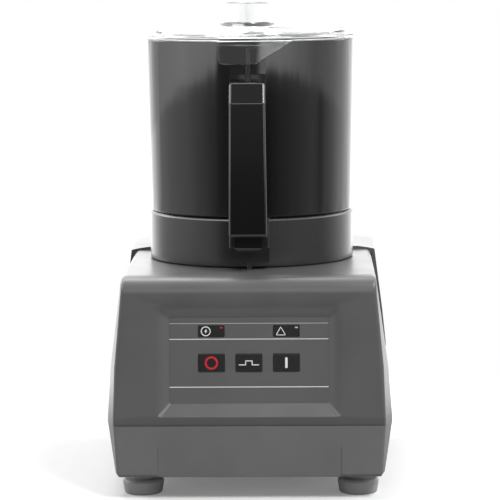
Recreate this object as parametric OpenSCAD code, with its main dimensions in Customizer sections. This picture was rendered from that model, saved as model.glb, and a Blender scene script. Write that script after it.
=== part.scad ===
// Commercial food processor: a table-top bowl cutter with a lift-off bowl,
// a clear turning lid, a safety rod in the handle and a direct-drive motor.
// Millimetres. X to the right, Y to the back, Z up. The origin is the middle
// of the base on the table.

/* [Housing] */
// Width across the side ridges, at the seam
housing_w = 252; // [244:1:280]
// Depth from the fascia to the back
housing_d = 309; // [300:1:340]
// Height of the seam between the tub and the upper housing
seam_z = 70; // [64:1:74]
// Height of the deck that the bowl stands on
deck_z = 198.5; // [192:0.5:215]
// Wall of the tub and of the upper housing
housing_t = 3.5; // [2.5:0.5:4.5]
// How far each side leans in from the seam to the deck
side_lean = 15; // [8:1:18]
// How far each side leans in behind the step
rear_lean = 10.5; // [6:0.5:14]
// How far the fascia leans back
fascia_lean = 6.5; // [2:0.5:10]
// Radius of the edge between the fascia and the deck
fascia_top_r = 15; // [8:1:18]
// Radius of the curl under the fascia
fascia_curl_r = 7; // [3:1:8]
// How far the bowl axis lies behind the middle of the housing
axis_y = 4; // [0:1:8]
// How far the wider rear section starts behind the bowl axis
step_back = 45; // [40:1:60]
// How far the rear deck stands above the front deck
rear_rise = 3; // [1:0.5:5]

/* [Tub and feet] */
// Height of the underside of the tub above the table
tub_z = 21.5; // [19:0.5:26]
// How far the sides of the tub draw in towards the bottom
tub_draw = 7.5; // [4:0.5:10]
// Diameter of a foot
foot_d = 35; // [28:1:38]
// Height of the rubber part of a foot
foot_h = 13; // [10:1:16]
// Distance between the feet, side to side
foot_span_x = 192; // [180:1:196]
// Distance between the feet, front to back
foot_span_y = 222; // [200:1:232]

/* [Control panel] */
// Height of the middle of the panel
panel_z = 124.8; // [122:0.2:130]
// Width of the recess in the fascia
recess_w = 164.4; // [156:0.2:180]
// Height of the recess in the fascia
recess_h = 100; // [96:1:102]
// Width of the sloping sides of the recess
recess_bevel = 12.2; // [8:0.2:13]
// Depth of the panel face below the fascia
panel_depth = 6.5; // [4:0.5:8]
// Width of a button
button_w = 22.8; // [18:0.2:26]
// Height of a button
button_h = 15.3; // [12:0.1:18]
// Height of an indicator window
window_h = 9.9; // [8:0.1:12]
// Distance between neighbouring buttons
button_pitch = 32.8; // [30:0.2:36]
// Travel of a button
button_travel = 0.6; // [0.3:0.1:0.8]

/* [Bowl] */
// Outside diameter of the bowl at its foot
bowl_d = 187; // [176:1:192]
// Height of the bowl shell above its ring
bowl_h = 158; // [140:1:180]
// Draft of the bowl wall, on the radius over its height
bowl_draft = 3; // [0:0.5:4]
// Wall of the bowl
bowl_t = 3; // [2:0.5:4]
// Height of the ring under the bowl
ring_h = 44; // [40:1:50]
// Outside diameter of the tube in the middle of the bowl
tube_d = 29; // [28:0.5:34]
// Height of that tube above the bowl floor
tube_h = 71; // [60:1:80]

/* [Handle] */
// Width of the handle at the top
handle_w = 31.2; // [28:0.2:36]
// How much wider the grip is at its lower end
handle_flare = 2.2; // [0:0.2:4]
// How far the grip stands out from the bowl axis
handle_reach = 147; // [142:1:150]
// Thickness of the grip
grip_t = 15; // [12:1:17]
// Distance from the rim of the bowl down to the top of the handle
handle_drop = 29; // [27:1:34]

/* [Lid] */
// Outside diameter of the lid flange
lid_d = 196; // [194:1:202]
// Height of the crown above the flange
crown_h = 8; // [6:1:14]
// Wall of the lid
lid_t = 3; // [2:0.5:3.5]
// Outside diameter of the feed tube
feed_d = 50; // [40:1:60]
// Height of the feed tube above the crown
feed_h = 21; // [15:1:40]
// How far the feed tube lies in front of the bowl axis
feed_front = 45; // [42:1:50]
// Width of the grip lip at the front of the lid
lip_w = 44; // [38:1:52]

/* [Knife] */
// Radius to the tip of a blade
blade_r = 87; // [76:0.5:87.5]
// Thickness of a blade
blade_t = 2.5; // [1.5:0.5:3]
// Height of the spacer between the blades
spacer_h = 29; // [15:1:34]

/* [Motor] */
// Outside diameter of the motor
motor_d = 132; // [120:1:140]
// Height of the laminated core
core_h = 65; // [50:1:70]
// Diameter of the rotor
rotor_d = 71; // [60:1:76]
// Diameter of the shaft in its upper bearing
shaft_d = 25; // [22:1:25]

/* [Hidden] */
$fn = 64;

// Colours
housing_c = "#55575a";
black_c = "#17181a";
satin_black_c = "#26272a";
steel_c = "#b9bcc0";
alloy_c = "#9fa3a8";
rubber_c = "#2b2b2c";
clear_c = [0.82, 0.88, 0.9, 0.4];
copper_c = "#a8642f";
board_c = "#2d5a3a";

// Clearances and small shared sizes
gap = 0.3;              // between pieces that move past each other
run_fit = 0.05;         // radial play of a shaft in its bearing
seat_gap = 0.1;         // round pieces that are pressed or glued in place
over = 1;               // overrun of a cut past the face it opens
corner_steps = 4;       // flats in a rounded corner of an outline
m4_r = 2;               // fixing screws
m4_head_r = 3.6;
m4_head_h = 2.4;
m5_r = 2.5;             // heavier screws
m5_head_r = 4.4;
m5_head_h = 3;

// Outlines

function unit(v) = v / norm(v);
function turn(a, b) = atan2(a[0] * b[1] - a[1] * b[0], a * b);
function swing(v, a) = [v[0] * cos(a) - v[1] * sin(a), v[0] * sin(a) + v[1] * cos(a)];

// The points of one corner, rounded to radius r
function round_corner(before, at, after, r) =
    r == 0 ? [at] :
    let (
        u = unit(before - at),
        v = unit(after - at),
        half = abs(turn(u, v)) / 2,
        centre = at + unit(u + v) * (r / sin(half)),
        from = at + u * (r / tan(half)) - centre,
        sweep = turn(from, at + v * (r / tan(half)) - centre)
    )
    [for (i = [0:corner_steps]) centre + swing(from, sweep * i / corner_steps)];

// An outline through corners given as [x, y, radius]
function rounded(corners) =
    let (n = len(corners))
    [for (i = [0:n - 1])
        let (p = corners[(i + n - 1) % n], c = corners[i], q = corners[(i + 1) % n])
        each round_corner([p[0], p[1]], [c[0], c[1]], [q[0], q[1]], c[2])];

function rounded_rect(w, h, r) =
    rounded([[-w / 2, -h / 2, r], [w / 2, -h / 2, r], [w / 2, h / 2, r], [-w / 2, h / 2, r]]);

function ring_at(outline, z) = [for (p = outline) [p[0], p[1], z]];

// A solid through a stack of outlines with the same number of points
module loft(rings) {
    n = len(rings[0]);
    m = len(rings);
    points = [for (ring = rings) each ring];
    sides = [for (i = [0:m - 2]) for (j = [0:n - 1])
        let (a = i * n + j, b = i * n + (j + 1) % n)
        each [[a, a + n, b + n], [a, b + n, b]]];
    floor_face = [for (j = [0:n - 1]) j];
    top_face = [for (j = [n - 1:-1:0]) (m - 1) * n + j];
    polyhedron(points, concat([floor_face], sides, [top_face]), convexity = 4);
}

// A tube with its foot at z
module tube(r_out, r_in, h, z = 0) {
    translate([0, 0, z]) difference() {
        cylinder(r = r_out, h = h);
        translate([0, 0, -over]) cylinder(r = r_in, h = h + 2 * over);
    }
}

// Copies of a child on a circle
module around(count, r, first = 0) {
    for (i = [0:count - 1]) rotate(first + i * 360 / count) translate([r, 0, 0]) children();
}

// Copies of a child at the four corners of a rectangle
module at_corners(w, h) {
    for (sx = [-1, 1], sy = [-1, 1]) translate([sx * w / 2, sy * h / 2, 0]) children();
}

// A pan-head screw that points up, with its seat at z = 0
module screw_up(r, head_r, head_h, length) {
    cylinder(r = r, h = length);
    difference() {
        translate([0, 0, -head_h]) cylinder(r = head_r, h = head_h);
        translate([0, 0, -head_h - over]) cylinder(r = r * 0.9, h = head_h * 0.55 + over, $fn = 6);
    }
}

module on_axis() {
    translate([0, axis_y, 0]) children();
}

// Housing form

step_y = axis_y + step_back;
front_lean_shares = [[0, 0], [0.38, 0.27], [1, 1]];
rear_lean_shares = [[0, 0], [0.31, 0], [0.55, 0.3], [1, 1]];
edge_r = 3;                     // softened vertical edges of the front
cut_x = 6.8;                    // front corner cut at the seam, sideways
cut_y = 27.5;                   // front corner cut at the seam, backwards
cut_top_share = 0.15;           // what is left of that cut at the deck
rear_corner_r = 12;
side_top_r = 4;
fascia_low = seam_z + fascia_curl_r;
fascia_tilt = atan(fascia_lean / (deck_z - fascia_top_r - fascia_low));
rear_shoulder_shares = [[0, 0], [0.25, 0.12], [0.6, 0.45], [1, 1]];
rear_shoulder_w = 16;           // width of the sloping shoulder of the rear deck

function rise_share(z) = (z - seam_z) / (deck_z - seam_z);
function fascia_y(z) = -housing_d / 2 + max(0, z - fascia_low) * tan(fascia_tilt);
function front_half_w(z) = housing_w / 2 - side_lean * lookup(rise_share(z), front_lean_shares);
function rear_half_w(z) = housing_w / 2 - rear_lean * lookup(rise_share(z), rear_lean_shares);
function round_off(z, top, r) =
    z > top - r ? r - sqrt(max(0, r * r - (z - top + r) * (z - top + r))) : 0;
function curl_in(z) =
    z < fascia_low ? fascia_curl_r - sqrt(max(0, pow(fascia_curl_r, 2) - pow(fascia_low - z, 2))) : 0;

// Outline of the front section at height z, all faces moved in by t
function front_outline(z, t) =
    let (
        cut = 1 - (1 - cut_top_share) * rise_share(z),
        w = front_half_w(z) - t - round_off(z, deck_z - t, side_top_r),
        cx = cut_x * cut,
        cy = cut_y * cut,
        lean_z = min(z, deck_z - fascia_top_r),
        yf = fascia_y(lean_z) + t + round_off(z, deck_z - t, fascia_top_r - t)
            + (t == 0 ? curl_in(z) : 0),
        y0 = fascia_y(lean_z) + t
    )
    rounded([[-w + cx, yf, edge_r], [w - cx, yf, edge_r], [w, max(y0 + cy, yf + cy / 2), edge_r],
        [w, step_y + over, 0], [-w, step_y + over, 0], [-w, max(y0 + cy, yf + cy / 2), edge_r]]);

module front_solid(t, z_low, z_top) {
    curl = [for (a = [0:30:90]) seam_z + fascia_curl_r * (1 - cos(a))];
    middle = [seam_z + (deck_z - seam_z) * front_lean_shares[1][0]];
    bend = [for (a = [0:15:90]) z_top - (fascia_top_r - t) * (1 - sin(a))];
    levels = t == 0 ? concat(curl, middle, bend) : concat([z_low], middle, bend);
    loft([for (z = levels) ring_at(front_outline(max(z, seam_z), t), z)]);
}

// Outline of the wider rear section at height z
function rear_outline(z, t) =
    let (
        up = max(0, z + t - deck_z) / rear_rise,
        w = rear_half_w(min(z, deck_z)) - t - rear_shoulder_w * lookup(up, rear_shoulder_shares),
        yr = housing_d / 2 - t - rear_shoulder_w / 2 * lookup(up, rear_shoulder_shares),
        y0 = step_y + (t == 0 ? 0 : -over)
    )
    rounded([[-w, y0, 0], [w, y0, 0], [w, yr, rear_corner_r - t], [-w, yr, rear_corner_r - t]]);

module rear_solid(t, z_low) {
    sides = [for (s = [0.31, 0.55, 1]) seam_z + (deck_z - seam_z) * s - (s == 1 ? t : 0)];
    shoulder = t == 0 ? [for (s = [0.25, 0.6, 1]) deck_z + rear_rise * s] : [];
    loft([for (z = concat([z_low], sides, shoulder)) ring_at(rear_outline(max(z, seam_z), t), z)]);
}

// Places things on the fascia at the middle of the panel, +Z out of the fascia
module on_fascia() {
    translate([0, fascia_y(panel_z), panel_z]) rotate([90 - fascia_tilt, 0, 0]) children();
}

// Control panel sizes
recess_r = 6;
overlay_t = 1;
overlay_w = recess_w - 2 * recess_bevel;
overlay_h = recess_h - 2 * recess_bevel;
pocket_floor = panel_depth + overlay_t;
tray_back = pocket_floor + housing_t;
button_row_y = -2.1;            // height of the button row above the panel middle
window_row_y = 25.7;            // height of the indicator row above the panel middle
button_proud = 1;
button_r = 1;
flange_edge = 1.4;              // flange behind the panel that keeps a button in
flange_t = 1.5;
stem_r = 1.6;
stem_h = 2.7;
board_gap = 7.4;                // length of the board's standoffs
board_t = 1.6;
board_edge = 2;
switch_w = 6;
lamp_r = 2.4;
standoff_r = 4;
board_back = tray_back + board_gap;
standoff_in = [5, 6];           // standoffs in from the edges of the overlay
standoff_x = overlay_w - 2 * standoff_in[0];
standoff_y = overlay_h - 2 * standoff_in[1];
window_places = [[-button_pitch, window_row_y], [button_pitch, window_row_y]];

function button_place(i) = [button_pitch * i, button_row_y];

module panel_holes(grow, from, to) {
    for (i = [-1:1]) translate([button_place(i)[0], button_place(i)[1], from])
        linear_extrude(to - from) polygon(rounded_rect(button_w + 2 * grow, button_h + 2 * grow, button_r));
    for (p = window_places) translate([p[0], p[1], from])
        linear_extrude(to - from) polygon(rounded_rect(button_w + 2 * grow, window_h + 2 * grow, button_r));
}

// Deck and drive sizes
deck_under = deck_z - housing_t;
deck_room = 3;                  // room round the bowl ring in the raised rear deck
pedestal_r = 56;
pedestal_h = 33.5;
pedestal_wall = 6;
pilot_r = 30;                   // hole in the deck that centres the motor
pedestal_screw_r = 42;          // circle of the screws through pedestal and deck
pedestal_boss_r = 8;
key_w = 8;
key_h = 3;
rod_r = 2.2;
rod_from_axis = 101.3;          // distance of the safety rod from the bowl axis
plunger_r = 2.5;
switch_box = [28, 14, 22];

// Rear cover sizes
cover_w = 176;
cover_h = 92;
cover_t = 2;
cover_depth = 12;               // how far the rear cover is sunk in
cover_sink = 1.5;               // middle of the cover below the middle of the back
cover_z = (seam_z + deck_z) / 2 - cover_sink;
cover_edge = 6;                 // ledge that carries the cover
cover_r = 6;
vent_w = 3.2;
vent_h = 44;
vent_pitch = 7;
vent_count = 9;
gland_x = -62;
gland_drop = 20;                // gland below the middle of the cover
gland_r = 8;
cord_r = 4.25;                  // bore for the supply cord

module on_back() {
    translate([0, housing_d / 2, cover_z]) rotate([-90, 0, 0]) rotate(180) children();
}

// Fixing posts
post_r = 7;
post_play = 1;                  // room between a post and the wall of the tub
post_x = housing_w - 2 * (tub_draw + housing_t + post_r + post_play);
post_y = 150;
post_h = 26;
post_y_mid = 10;

module post_places() {
    for (sx = [-1, 1], sy = [-1, 1]) translate([sx * post_x / 2, post_y_mid + sy * post_y / 2, 0]) children();
}

module upper_housing() {
    color(housing_c) difference() {
        union() {
            difference() {
                union() {
                    front_solid(0, seam_z, deck_z);
                    rear_solid(0, seam_z);
                }
                front_solid(housing_t, seam_z - over, deck_under);
                rear_solid(housing_t, seam_z - over);
            }
            // tray behind the panel and its standoffs
            on_fascia() {
                loft([
                    ring_at(rounded_rect(overlay_w + 2 * housing_t, overlay_h + 2 * housing_t, recess_r),
                        -tray_back),
                    ring_at(rounded_rect(recess_w - recess_bevel / 2, recess_h - recess_bevel / 2, recess_r),
                        -housing_t + overlay_t)
                ]);
                at_corners(standoff_x, standoff_y)
                    translate([0, 0, -board_back]) cylinder(r = standoff_r, h = board_gap + over);
            }
            // frame round the sunken rear cover
            translate([-cover_w / 2 - housing_t, housing_d / 2 - cover_depth - cover_t - housing_t,
                cover_z - cover_h / 2 - housing_t])
                cube([cover_w + 2 * housing_t, cover_depth + cover_t + housing_t - over,
                    cover_h + 2 * housing_t]);
            // posts for the screws that come up from the tub
            post_places() translate([0, 0, seam_z]) cylinder(r = post_r, h = post_h);
            for (sy = [-1, 1]) {
                wall_w = sy < 0 ? front_half_w(seam_z + post_h) : rear_half_w(seam_z + post_h);
                rib = wall_w - housing_t / 2 - post_x / 2;
                for (sx = [-1, 1]) translate([sx * (post_x + rib) / 2, post_y_mid + sy * post_y / 2,
                    seam_z + post_h / 2]) cube([rib, housing_t, post_h], center = true);
            }
        }
        // recess with sloping sides
        on_fascia() {
            loft([
                ring_at(rounded_rect(overlay_w, overlay_h, recess_r / 3), -pocket_floor),
                ring_at(rounded_rect(overlay_w, overlay_h, recess_r / 3), -panel_depth),
                ring_at(rounded_rect(recess_w, recess_h, recess_r), 0),
                ring_at(rounded_rect(recess_w, recess_h, recess_r), fascia_curl_r)
            ]);
            panel_holes(gap, -tray_back - over, -panel_depth);
            at_corners(standoff_x, standoff_y)
                translate([0, 0, -board_back - over]) cylinder(r = m4_r * 0.8, h = board_gap);
        }
        // hole for the drive and for the screws of the pedestal
        on_axis() {
            translate([0, 0, deck_under - over]) cylinder(r = pilot_r, h = housing_t + rear_rise + 2 * over);
            around(4, pedestal_screw_r, 45)
                translate([0, 0, deck_under - over]) cylinder(r = m5_r + seat_gap, h = housing_t + 2 * over);
            // room for the bowl ring in the raised rear deck
            translate([0, 0, deck_z]) cylinder(r = ring_r + deck_room, h = rear_rise + over);
            // hole for the switch plunger
            translate([0, -rod_from_axis, deck_under - over])
                cylinder(r = plunger_r + gap, h = housing_t + 2 * over);
        }
        // sunken rear cover
        on_back() {
            translate([0, 0, -cover_depth - cover_t]) linear_extrude(cover_depth + cover_t + over)
                polygon(rounded_rect(cover_w, cover_h, cover_r));
            translate([0, 0, -cover_depth - cover_t - housing_t - over])
                linear_extrude(housing_t + 2 * over)
                polygon(rounded_rect(cover_w - 2 * cover_edge, cover_h - 2 * cover_edge, cover_r));
        }
        post_places() translate([0, 0, seam_z - over]) cylinder(r = m5_r, h = post_h - housing_t);
    }
}

// Tub sizes
plate_t = 1.5;
tub_floor_t = 3;
tub_front_set = 2;              // how far the tub front lies behind the fascia
tub_draw_y = 1.5;
tub_edge_r = 2.5;
pad_w = 26;                     // width of the corner pads
pad_step = 1;                   // how far the front between the pads is set back
pad_top = 24;                   // height of that step
plate_w = 180;
plate_d = 252;
plate_ledge = 18;               // width of the ledge that carries the plate
tub_inner_z = tub_z + plate_t + tub_floor_t;
plate_vent_r = 46;
plate_vent_count = 24;
post_foot_r = 8;

function tub_outline(z, t) =
    let (
        s = (z - tub_z) / (seam_z - tub_z),
        soft = z < tub_z + tub_edge_r && t == 0 ? tub_edge_r * (1 - (z - tub_z) / tub_edge_r) / 2 : 0,
        w = housing_w / 2 - tub_draw * (1 - s) - t - soft,
        cx = cut_x * (0.3 + 0.7 * s),
        cy = cut_y * (0.45 + 0.55 * s),
        yf = -housing_d / 2 + tub_front_set + tub_draw_y * (1 - s) + t + soft,
        yr = housing_d / 2 - tub_draw_y * (1 - s) - t - soft
    )
    rounded([[-w + cx, yf, edge_r], [w - cx, yf, edge_r], [w, yf + cy, edge_r],
        [w, yr, rear_corner_r - t], [-w, yr, rear_corner_r - t], [-w, yf + cy, edge_r]]);

module tub_solid(t, levels) {
    loft([for (z = levels) ring_at(tub_outline(z, t), z)]);
}

module foot_places() {
    at_corners(foot_span_x, foot_span_y) children();
}

module lower_tub() {
    color(housing_c) difference() {
        union() {
            difference() {
                tub_solid(0, [tub_z, tub_z + tub_edge_r, (tub_z + seam_z) / 2, seam_z]);
                tub_solid(housing_t, [tub_inner_z, seam_z + over]);
            }
            foot_places() translate([0, 0, tub_inner_z - over]) cylinder(r = post_foot_r, h = pad_top / 2);
            post_places() translate([0, 0, tub_inner_z - over])
                cylinder(r = post_r, h = seam_z - tub_inner_z + over);
        }
        // front and back set back between the corner pads
        for (side = [-1, 1]) translate([0, side * (housing_d / 2 + tub_edge_r), tub_z + pad_top / 2])
            cube([housing_w - 2 * (tub_draw + pad_w),
                2 * (tub_edge_r + tub_front_set + tub_draw_y + pad_step), pad_top + 2 * over], center = true);
        // the bottom plate lies flush between the pads
        translate([0, 0, tub_z - over]) linear_extrude(plate_t + over)
            polygon(rounded_rect(plate_w + 2 * seat_gap, plate_d + 2 * seat_gap, cover_r));
        translate([0, 0, tub_z]) linear_extrude(plate_t + tub_floor_t + over)
            polygon(rounded_rect(plate_w - 2 * plate_ledge, plate_d - 2 * plate_ledge, cover_r));
        foot_places() translate([0, 0, tub_z - over]) cylinder(r = m5_r, h = tub_floor_t + pad_top / 2);
        post_places() translate([0, 0, tub_z - over]) {
            cylinder(r = m5_r + seat_gap, h = seam_z);
            cylinder(r = m5_head_r + gap, h = plate_t + m5_head_h + over);
        }
        at_corners(plate_w - plate_ledge, plate_d - plate_ledge)
            translate([0, 0, tub_z - over]) cylinder(r = m4_r, h = tub_inner_z);
    }
}

module bottom_plate() {
    color(steel_c) difference() {
        translate([0, 0, tub_z]) linear_extrude(plate_t) polygon(rounded_rect(plate_w, plate_d, cover_r));
        // slots under the fan, on a circle
        on_axis() for (ring = [0.45, 0.8]) around(plate_vent_count * ring, plate_vent_r * ring)
            translate([0, 0, tub_z - over]) linear_extrude(plate_t + 2 * over)
            polygon(rounded_rect(plate_vent_r * 0.26, vent_w, vent_w * 0.48));
        at_corners(plate_w - plate_ledge, plate_d - plate_ledge)
            translate([0, 0, tub_z - over]) cylinder(r = m4_r + gap, h = plate_t + 2 * over);
        post_places() translate([0, 0, tub_z - over]) cylinder(r = m5_head_r + gap, h = plate_t + 2 * over);
        foot_places() translate([0, 0, tub_z - over]) cylinder(r = foot_neck_r + over, h = plate_t + 2 * over);
    }
}

module plate_screws() {
    color(steel_c) at_corners(plate_w - plate_ledge, plate_d - plate_ledge)
        translate([0, 0, tub_z]) screw_up(m4_r, m4_head_r, m4_head_h, plate_t + tub_floor_t);
}

module housing_screws() {
    color(steel_c) post_places() translate([0, 0, tub_z + plate_t + m5_head_h])
        screw_up(m5_r, m5_head_r, m5_head_h, seam_z - tub_z + post_h / 2 - m5_head_h);
}

// Foot: a moulded rubber foot with a neck, hollow below for its screw
foot_neck_r = 9;
foot_edge_r = 2;
foot_bore_share = 0.55;
foot_taper = 1.5;

module feet() {
    color(rubber_c) foot_places() rotate_extrude() polygon([
        [m5_r + seat_gap, foot_h * foot_bore_share],
        [m5_head_r + over, foot_h * foot_bore_share],
        [m5_head_r + over, 0],
        [foot_d / 2 - foot_taper - foot_edge_r / 2, 0],
        [foot_d / 2 - foot_taper, foot_edge_r / 2],
        [foot_d / 2, foot_h - foot_edge_r],
        [foot_d / 2 - foot_edge_r, foot_h],
        [foot_neck_r, foot_h],
        [foot_neck_r, tub_z],
        [m5_r + seat_gap, tub_z]
    ]);
}

module foot_screws() {
    color(steel_c) foot_places() translate([0, 0, foot_h * foot_bore_share])
        screw_up(m5_r, m5_head_r, m5_head_h, tub_inner_z - foot_h * foot_bore_share + pad_top / 4);
}

// Rear cover with two fields of slots, sunk into the back
module rear_cover() {
    color(housing_c) on_back() difference() {
        translate([0, 0, -cover_depth - cover_t]) linear_extrude(cover_t)
            polygon(rounded_rect(cover_w - 2 * seat_gap, cover_h - 2 * seat_gap, cover_r));
        for (i = [0:vent_count - 1])
            translate([(i - (vent_count - 1) / 2) * vent_pitch + cover_w / 7, 0, -cover_depth - cover_t - over])
            linear_extrude(cover_t + 2 * over) polygon(rounded_rect(vent_w, vent_h, vent_w * 0.48));
        translate([-gland_x, -gland_drop, -cover_depth - cover_t - over])
            cylinder(r = gland_r + seat_gap, h = cover_t + 2 * over);
        at_corners(cover_w - 2 * cover_edge, cover_h - 2 * cover_edge)
            translate([0, 0, -cover_depth - cover_t - over])
            cylinder(r = m4_r + seat_gap, h = cover_t + 2 * over);
    }
}

module cover_screws() {
    color(steel_c) on_back() at_corners(cover_w - 2 * cover_edge, cover_h - 2 * cover_edge)
        translate([0, 0, -cover_depth]) rotate([180, 0, 0]) screw_up(m4_r, m4_head_r, m4_head_h, cover_t);
}

// Strain relief for the supply cord: hexagon, thread and dome nut, bored through
gland_flange_h = 5;
gland_nut_h = 5;
gland_tail = 6;

module cord_gland() {
    color(black_c) on_back() translate([-gland_x, -gland_drop, -cover_depth]) difference() {
        union() {
            cylinder(r = gland_r * 1.35, h = gland_flange_h, $fn = 6);
            translate([0, 0, gland_flange_h])
                cylinder(r1 = gland_r * 1.1, r2 = gland_r * 0.85, h = gland_nut_h);
            translate([0, 0, -cover_t - gland_tail]) cylinder(r = gland_r, h = cover_t + gland_tail);
            translate([0, 0, -cover_t - gland_nut_h]) cylinder(r = gland_r * 1.35, h = gland_nut_h, $fn = 6);
        }
        translate([0, 0, -cover_t - gland_tail - over])
            cylinder(r = cord_r, h = cover_t + gland_tail + gland_flange_h + gland_nut_h + 2 * over);
    }
}

// Control panel

module panel_overlay() {
    color("#616366") on_fascia() difference() {
        translate([0, 0, -pocket_floor]) linear_extrude(overlay_t)
            polygon(rounded_rect(overlay_w - 2 * seat_gap, overlay_h - 2 * seat_gap, recess_r / 3));
        panel_holes(gap, -pocket_floor - over, -panel_depth + over);
    }
}

module indicator(place) {
    on_fascia() translate([place[0], place[1], -tray_back])
        linear_extrude(tray_back - panel_depth + overlay_t / 3)
        polygon(rounded_rect(button_w + 2 * gap - 2 * seat_gap, window_h + 2 * gap - 2 * seat_gap, button_r));
}

module power_indicator() {
    color(black_c) indicator(window_places[0]);
}

module fault_indicator() {
    color(black_c) indicator(window_places[1]);
}

// A push button: cap, flange behind the panel and a stem towards its switch
module push_button(i) {
    on_fascia() translate([button_place(i)[0], button_place(i)[1], 0]) {
        translate([0, 0, -tray_back - gap]) linear_extrude(tray_back + gap - panel_depth + button_proud)
            polygon(rounded_rect(button_w, button_h, button_r));
        translate([0, 0, -tray_back - gap - flange_t]) linear_extrude(flange_t)
            polygon(rounded_rect(button_w + 2 * flange_edge, button_h + 2 * flange_edge, button_r));
        translate([0, 0, -tray_back - gap - flange_t - stem_h]) cylinder(r = stem_r, h = stem_h + flange_t / 2);
    }
}

module button_stop() {
    color(black_c) push_button(-1);
}

module button_pulse() {
    color(black_c) push_button(0);
}

module button_start() {
    color(black_c) push_button(1);
}

// Circuit board with a switch behind each button and a lamp behind each window
module control_board() {
    switch_top = tray_back + gap + flange_t + stem_h + button_travel + gap;
    color(board_c) on_fascia() difference() {
        union() {
            translate([0, 0, -board_back - board_t]) linear_extrude(board_t)
                polygon(rounded_rect(overlay_w + board_edge, overlay_h + board_edge, board_edge));
            for (i = [-1:1]) translate([button_place(i)[0] - switch_w / 2, button_place(i)[1] - switch_w / 2,
                -board_back]) cube([switch_w, switch_w, board_back - switch_top]);
            for (p = window_places) translate([p[0], p[1], -board_back])
                cylinder(r = lamp_r, h = board_gap - gap);
            translate([-overlay_w / 4, -overlay_h / 2 + switch_w / 2, -board_back - board_t - switch_w])
                cube([overlay_w / 2, switch_w, switch_w]);
        }
        at_corners(standoff_x, standoff_y)
            translate([0, 0, -board_back - board_t - over]) cylinder(r = m4_r, h = board_t + 2 * over);
    }
}

module board_screws() {
    color(steel_c) on_fascia() at_corners(standoff_x, standoff_y)
        translate([0, 0, -board_back - board_t])
        screw_up(m4_r * 0.8, m4_head_r * 0.8, m4_head_h * 0.8, board_t + board_gap / 2);
}

// Motor, hung under the deck on the bowl axis

motor_r = motor_d / 2;
shield_rim = 9;                 // width of the rims that clamp the core
shield_t = 9;
upper_rim_h = 26;
lower_rim_h = 22;
core_top = deck_under - shield_t - upper_rim_h;
core_low = core_top - core_h;
shield_low = core_low - lower_rim_h - shield_t;
air_gap = 0.5;                  // between rotor and core
core_bore = rotor_d / 2 + air_gap;
winding_h = 15;
winding_room = 2.5;             // windings behind the bore of the core
winding_play = 1;               // windings inside the shields
winding_in = core_bore + winding_room;
winding_out = motor_r - shield_rim - winding_play;
shaft_room = 2;                 // round the shaft where it passes through a shield
motor_bolt_r = motor_r - shield_rim / 2;
upper_brg_r = 26;
upper_brg_h = 15;
lower_brg_r = 20;
lower_brg_h = 12;
lower_shaft_r = 8.5;
hub_wall = 4;
rotor_end_h = 6;                // end rings of the rotor
rotor_end_in = 2;

module upper_end_shield() {
    color(alloy_c) on_axis() difference() {
        union() {
            translate([0, 0, core_top]) cylinder(r = motor_r, h = shield_t + upper_rim_h);
            translate([0, 0, deck_under - over]) cylinder(r = pilot_r - seat_gap, h = housing_t + over);
        }
        translate([0, 0, core_top - over]) difference() {
            cylinder(r = motor_r - shield_rim, h = upper_rim_h + over);
            translate([0, 0, upper_rim_h + over - upper_brg_h + shield_t])
                cylinder(r = upper_brg_r + hub_wall, h = upper_brg_h);
        }
        translate([0, 0, deck_under - upper_brg_h]) cylinder(r = shaft_d / 2 + shaft_room, h = upper_brg_h * 2);
        translate([0, 0, core_top]) cylinder(r = upper_brg_r, h = deck_under - core_top - housing_t);
        around(4, motor_bolt_r) translate([0, 0, core_top - over]) cylinder(r = m5_r, h = upper_rim_h);
        around(4, pedestal_screw_r, 45)
            translate([0, 0, deck_under - shield_t - over]) cylinder(r = m5_r, h = shield_t + 2 * over);
        // air slots in the rim
        around(6, motor_r, 15) translate([0, 0, core_top + upper_rim_h / 2])
            cube([4 * shield_rim, motor_r / 4, upper_rim_h / 2], center = true);
    }
}

module lower_end_shield() {
    color(alloy_c) on_axis() difference() {
        translate([0, 0, shield_low]) cylinder(r = motor_r, h = shield_t + lower_rim_h);
        translate([0, 0, shield_low + shield_t]) difference() {
            cylinder(r = motor_r - shield_rim, h = lower_rim_h + over);
            translate([0, 0, -over])
                cylinder(r = lower_brg_r + hub_wall, h = lower_brg_h - shield_t + hub_wall + over);
        }
        translate([0, 0, shield_low - over]) cylinder(r = lower_shaft_r + shaft_room, h = shield_t);
        translate([0, 0, shield_low + hub_wall]) cylinder(r = lower_brg_r, h = shield_t + lower_rim_h);
        around(4, motor_bolt_r) translate([0, 0, shield_low - over])
            cylinder(r = m5_r + seat_gap, h = shield_t + lower_rim_h + 2 * over);
        around(6, (motor_r - shield_rim + lower_brg_r + hub_wall) / 2, 30) translate([0, 0, shield_low - over])
            cylinder(r = shield_rim * 0.7, h = shield_t + 2 * over);
    }
}

module stator_core() {
    color(steel_c) on_axis() difference() {
        translate([0, 0, core_low]) cylinder(r = motor_r, h = core_h);
        translate([0, 0, core_low - over]) cylinder(r = core_bore, h = core_h + 2 * over);
        around(4, motor_bolt_r) translate([0, 0, core_low - over])
            cylinder(r = m5_r + seat_gap, h = core_h + 2 * over);
        // shallow cooling flutes on the outside
        around(8, motor_r + m5_r, 22.5) translate([0, 0, core_low - over])
            cylinder(r = m5_r * 1.6, h = core_h + 2 * over);
    }
}

// One end of the winding: a ring with a rounded top
module winding_end() {
    rotate_extrude() polygon([
        [winding_in, 0], [winding_out, 0], [winding_out, winding_h * 0.7],
        [winding_out - winding_h * 0.3, winding_h], [winding_in + winding_h * 0.3, winding_h],
        [winding_in, winding_h * 0.7]
    ]);
}

module stator_windings() {
    color(copper_c) on_axis() {
        translate([0, 0, core_top]) winding_end();
        translate([0, 0, core_low]) mirror([0, 0, 1]) winding_end();
    }
}

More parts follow.
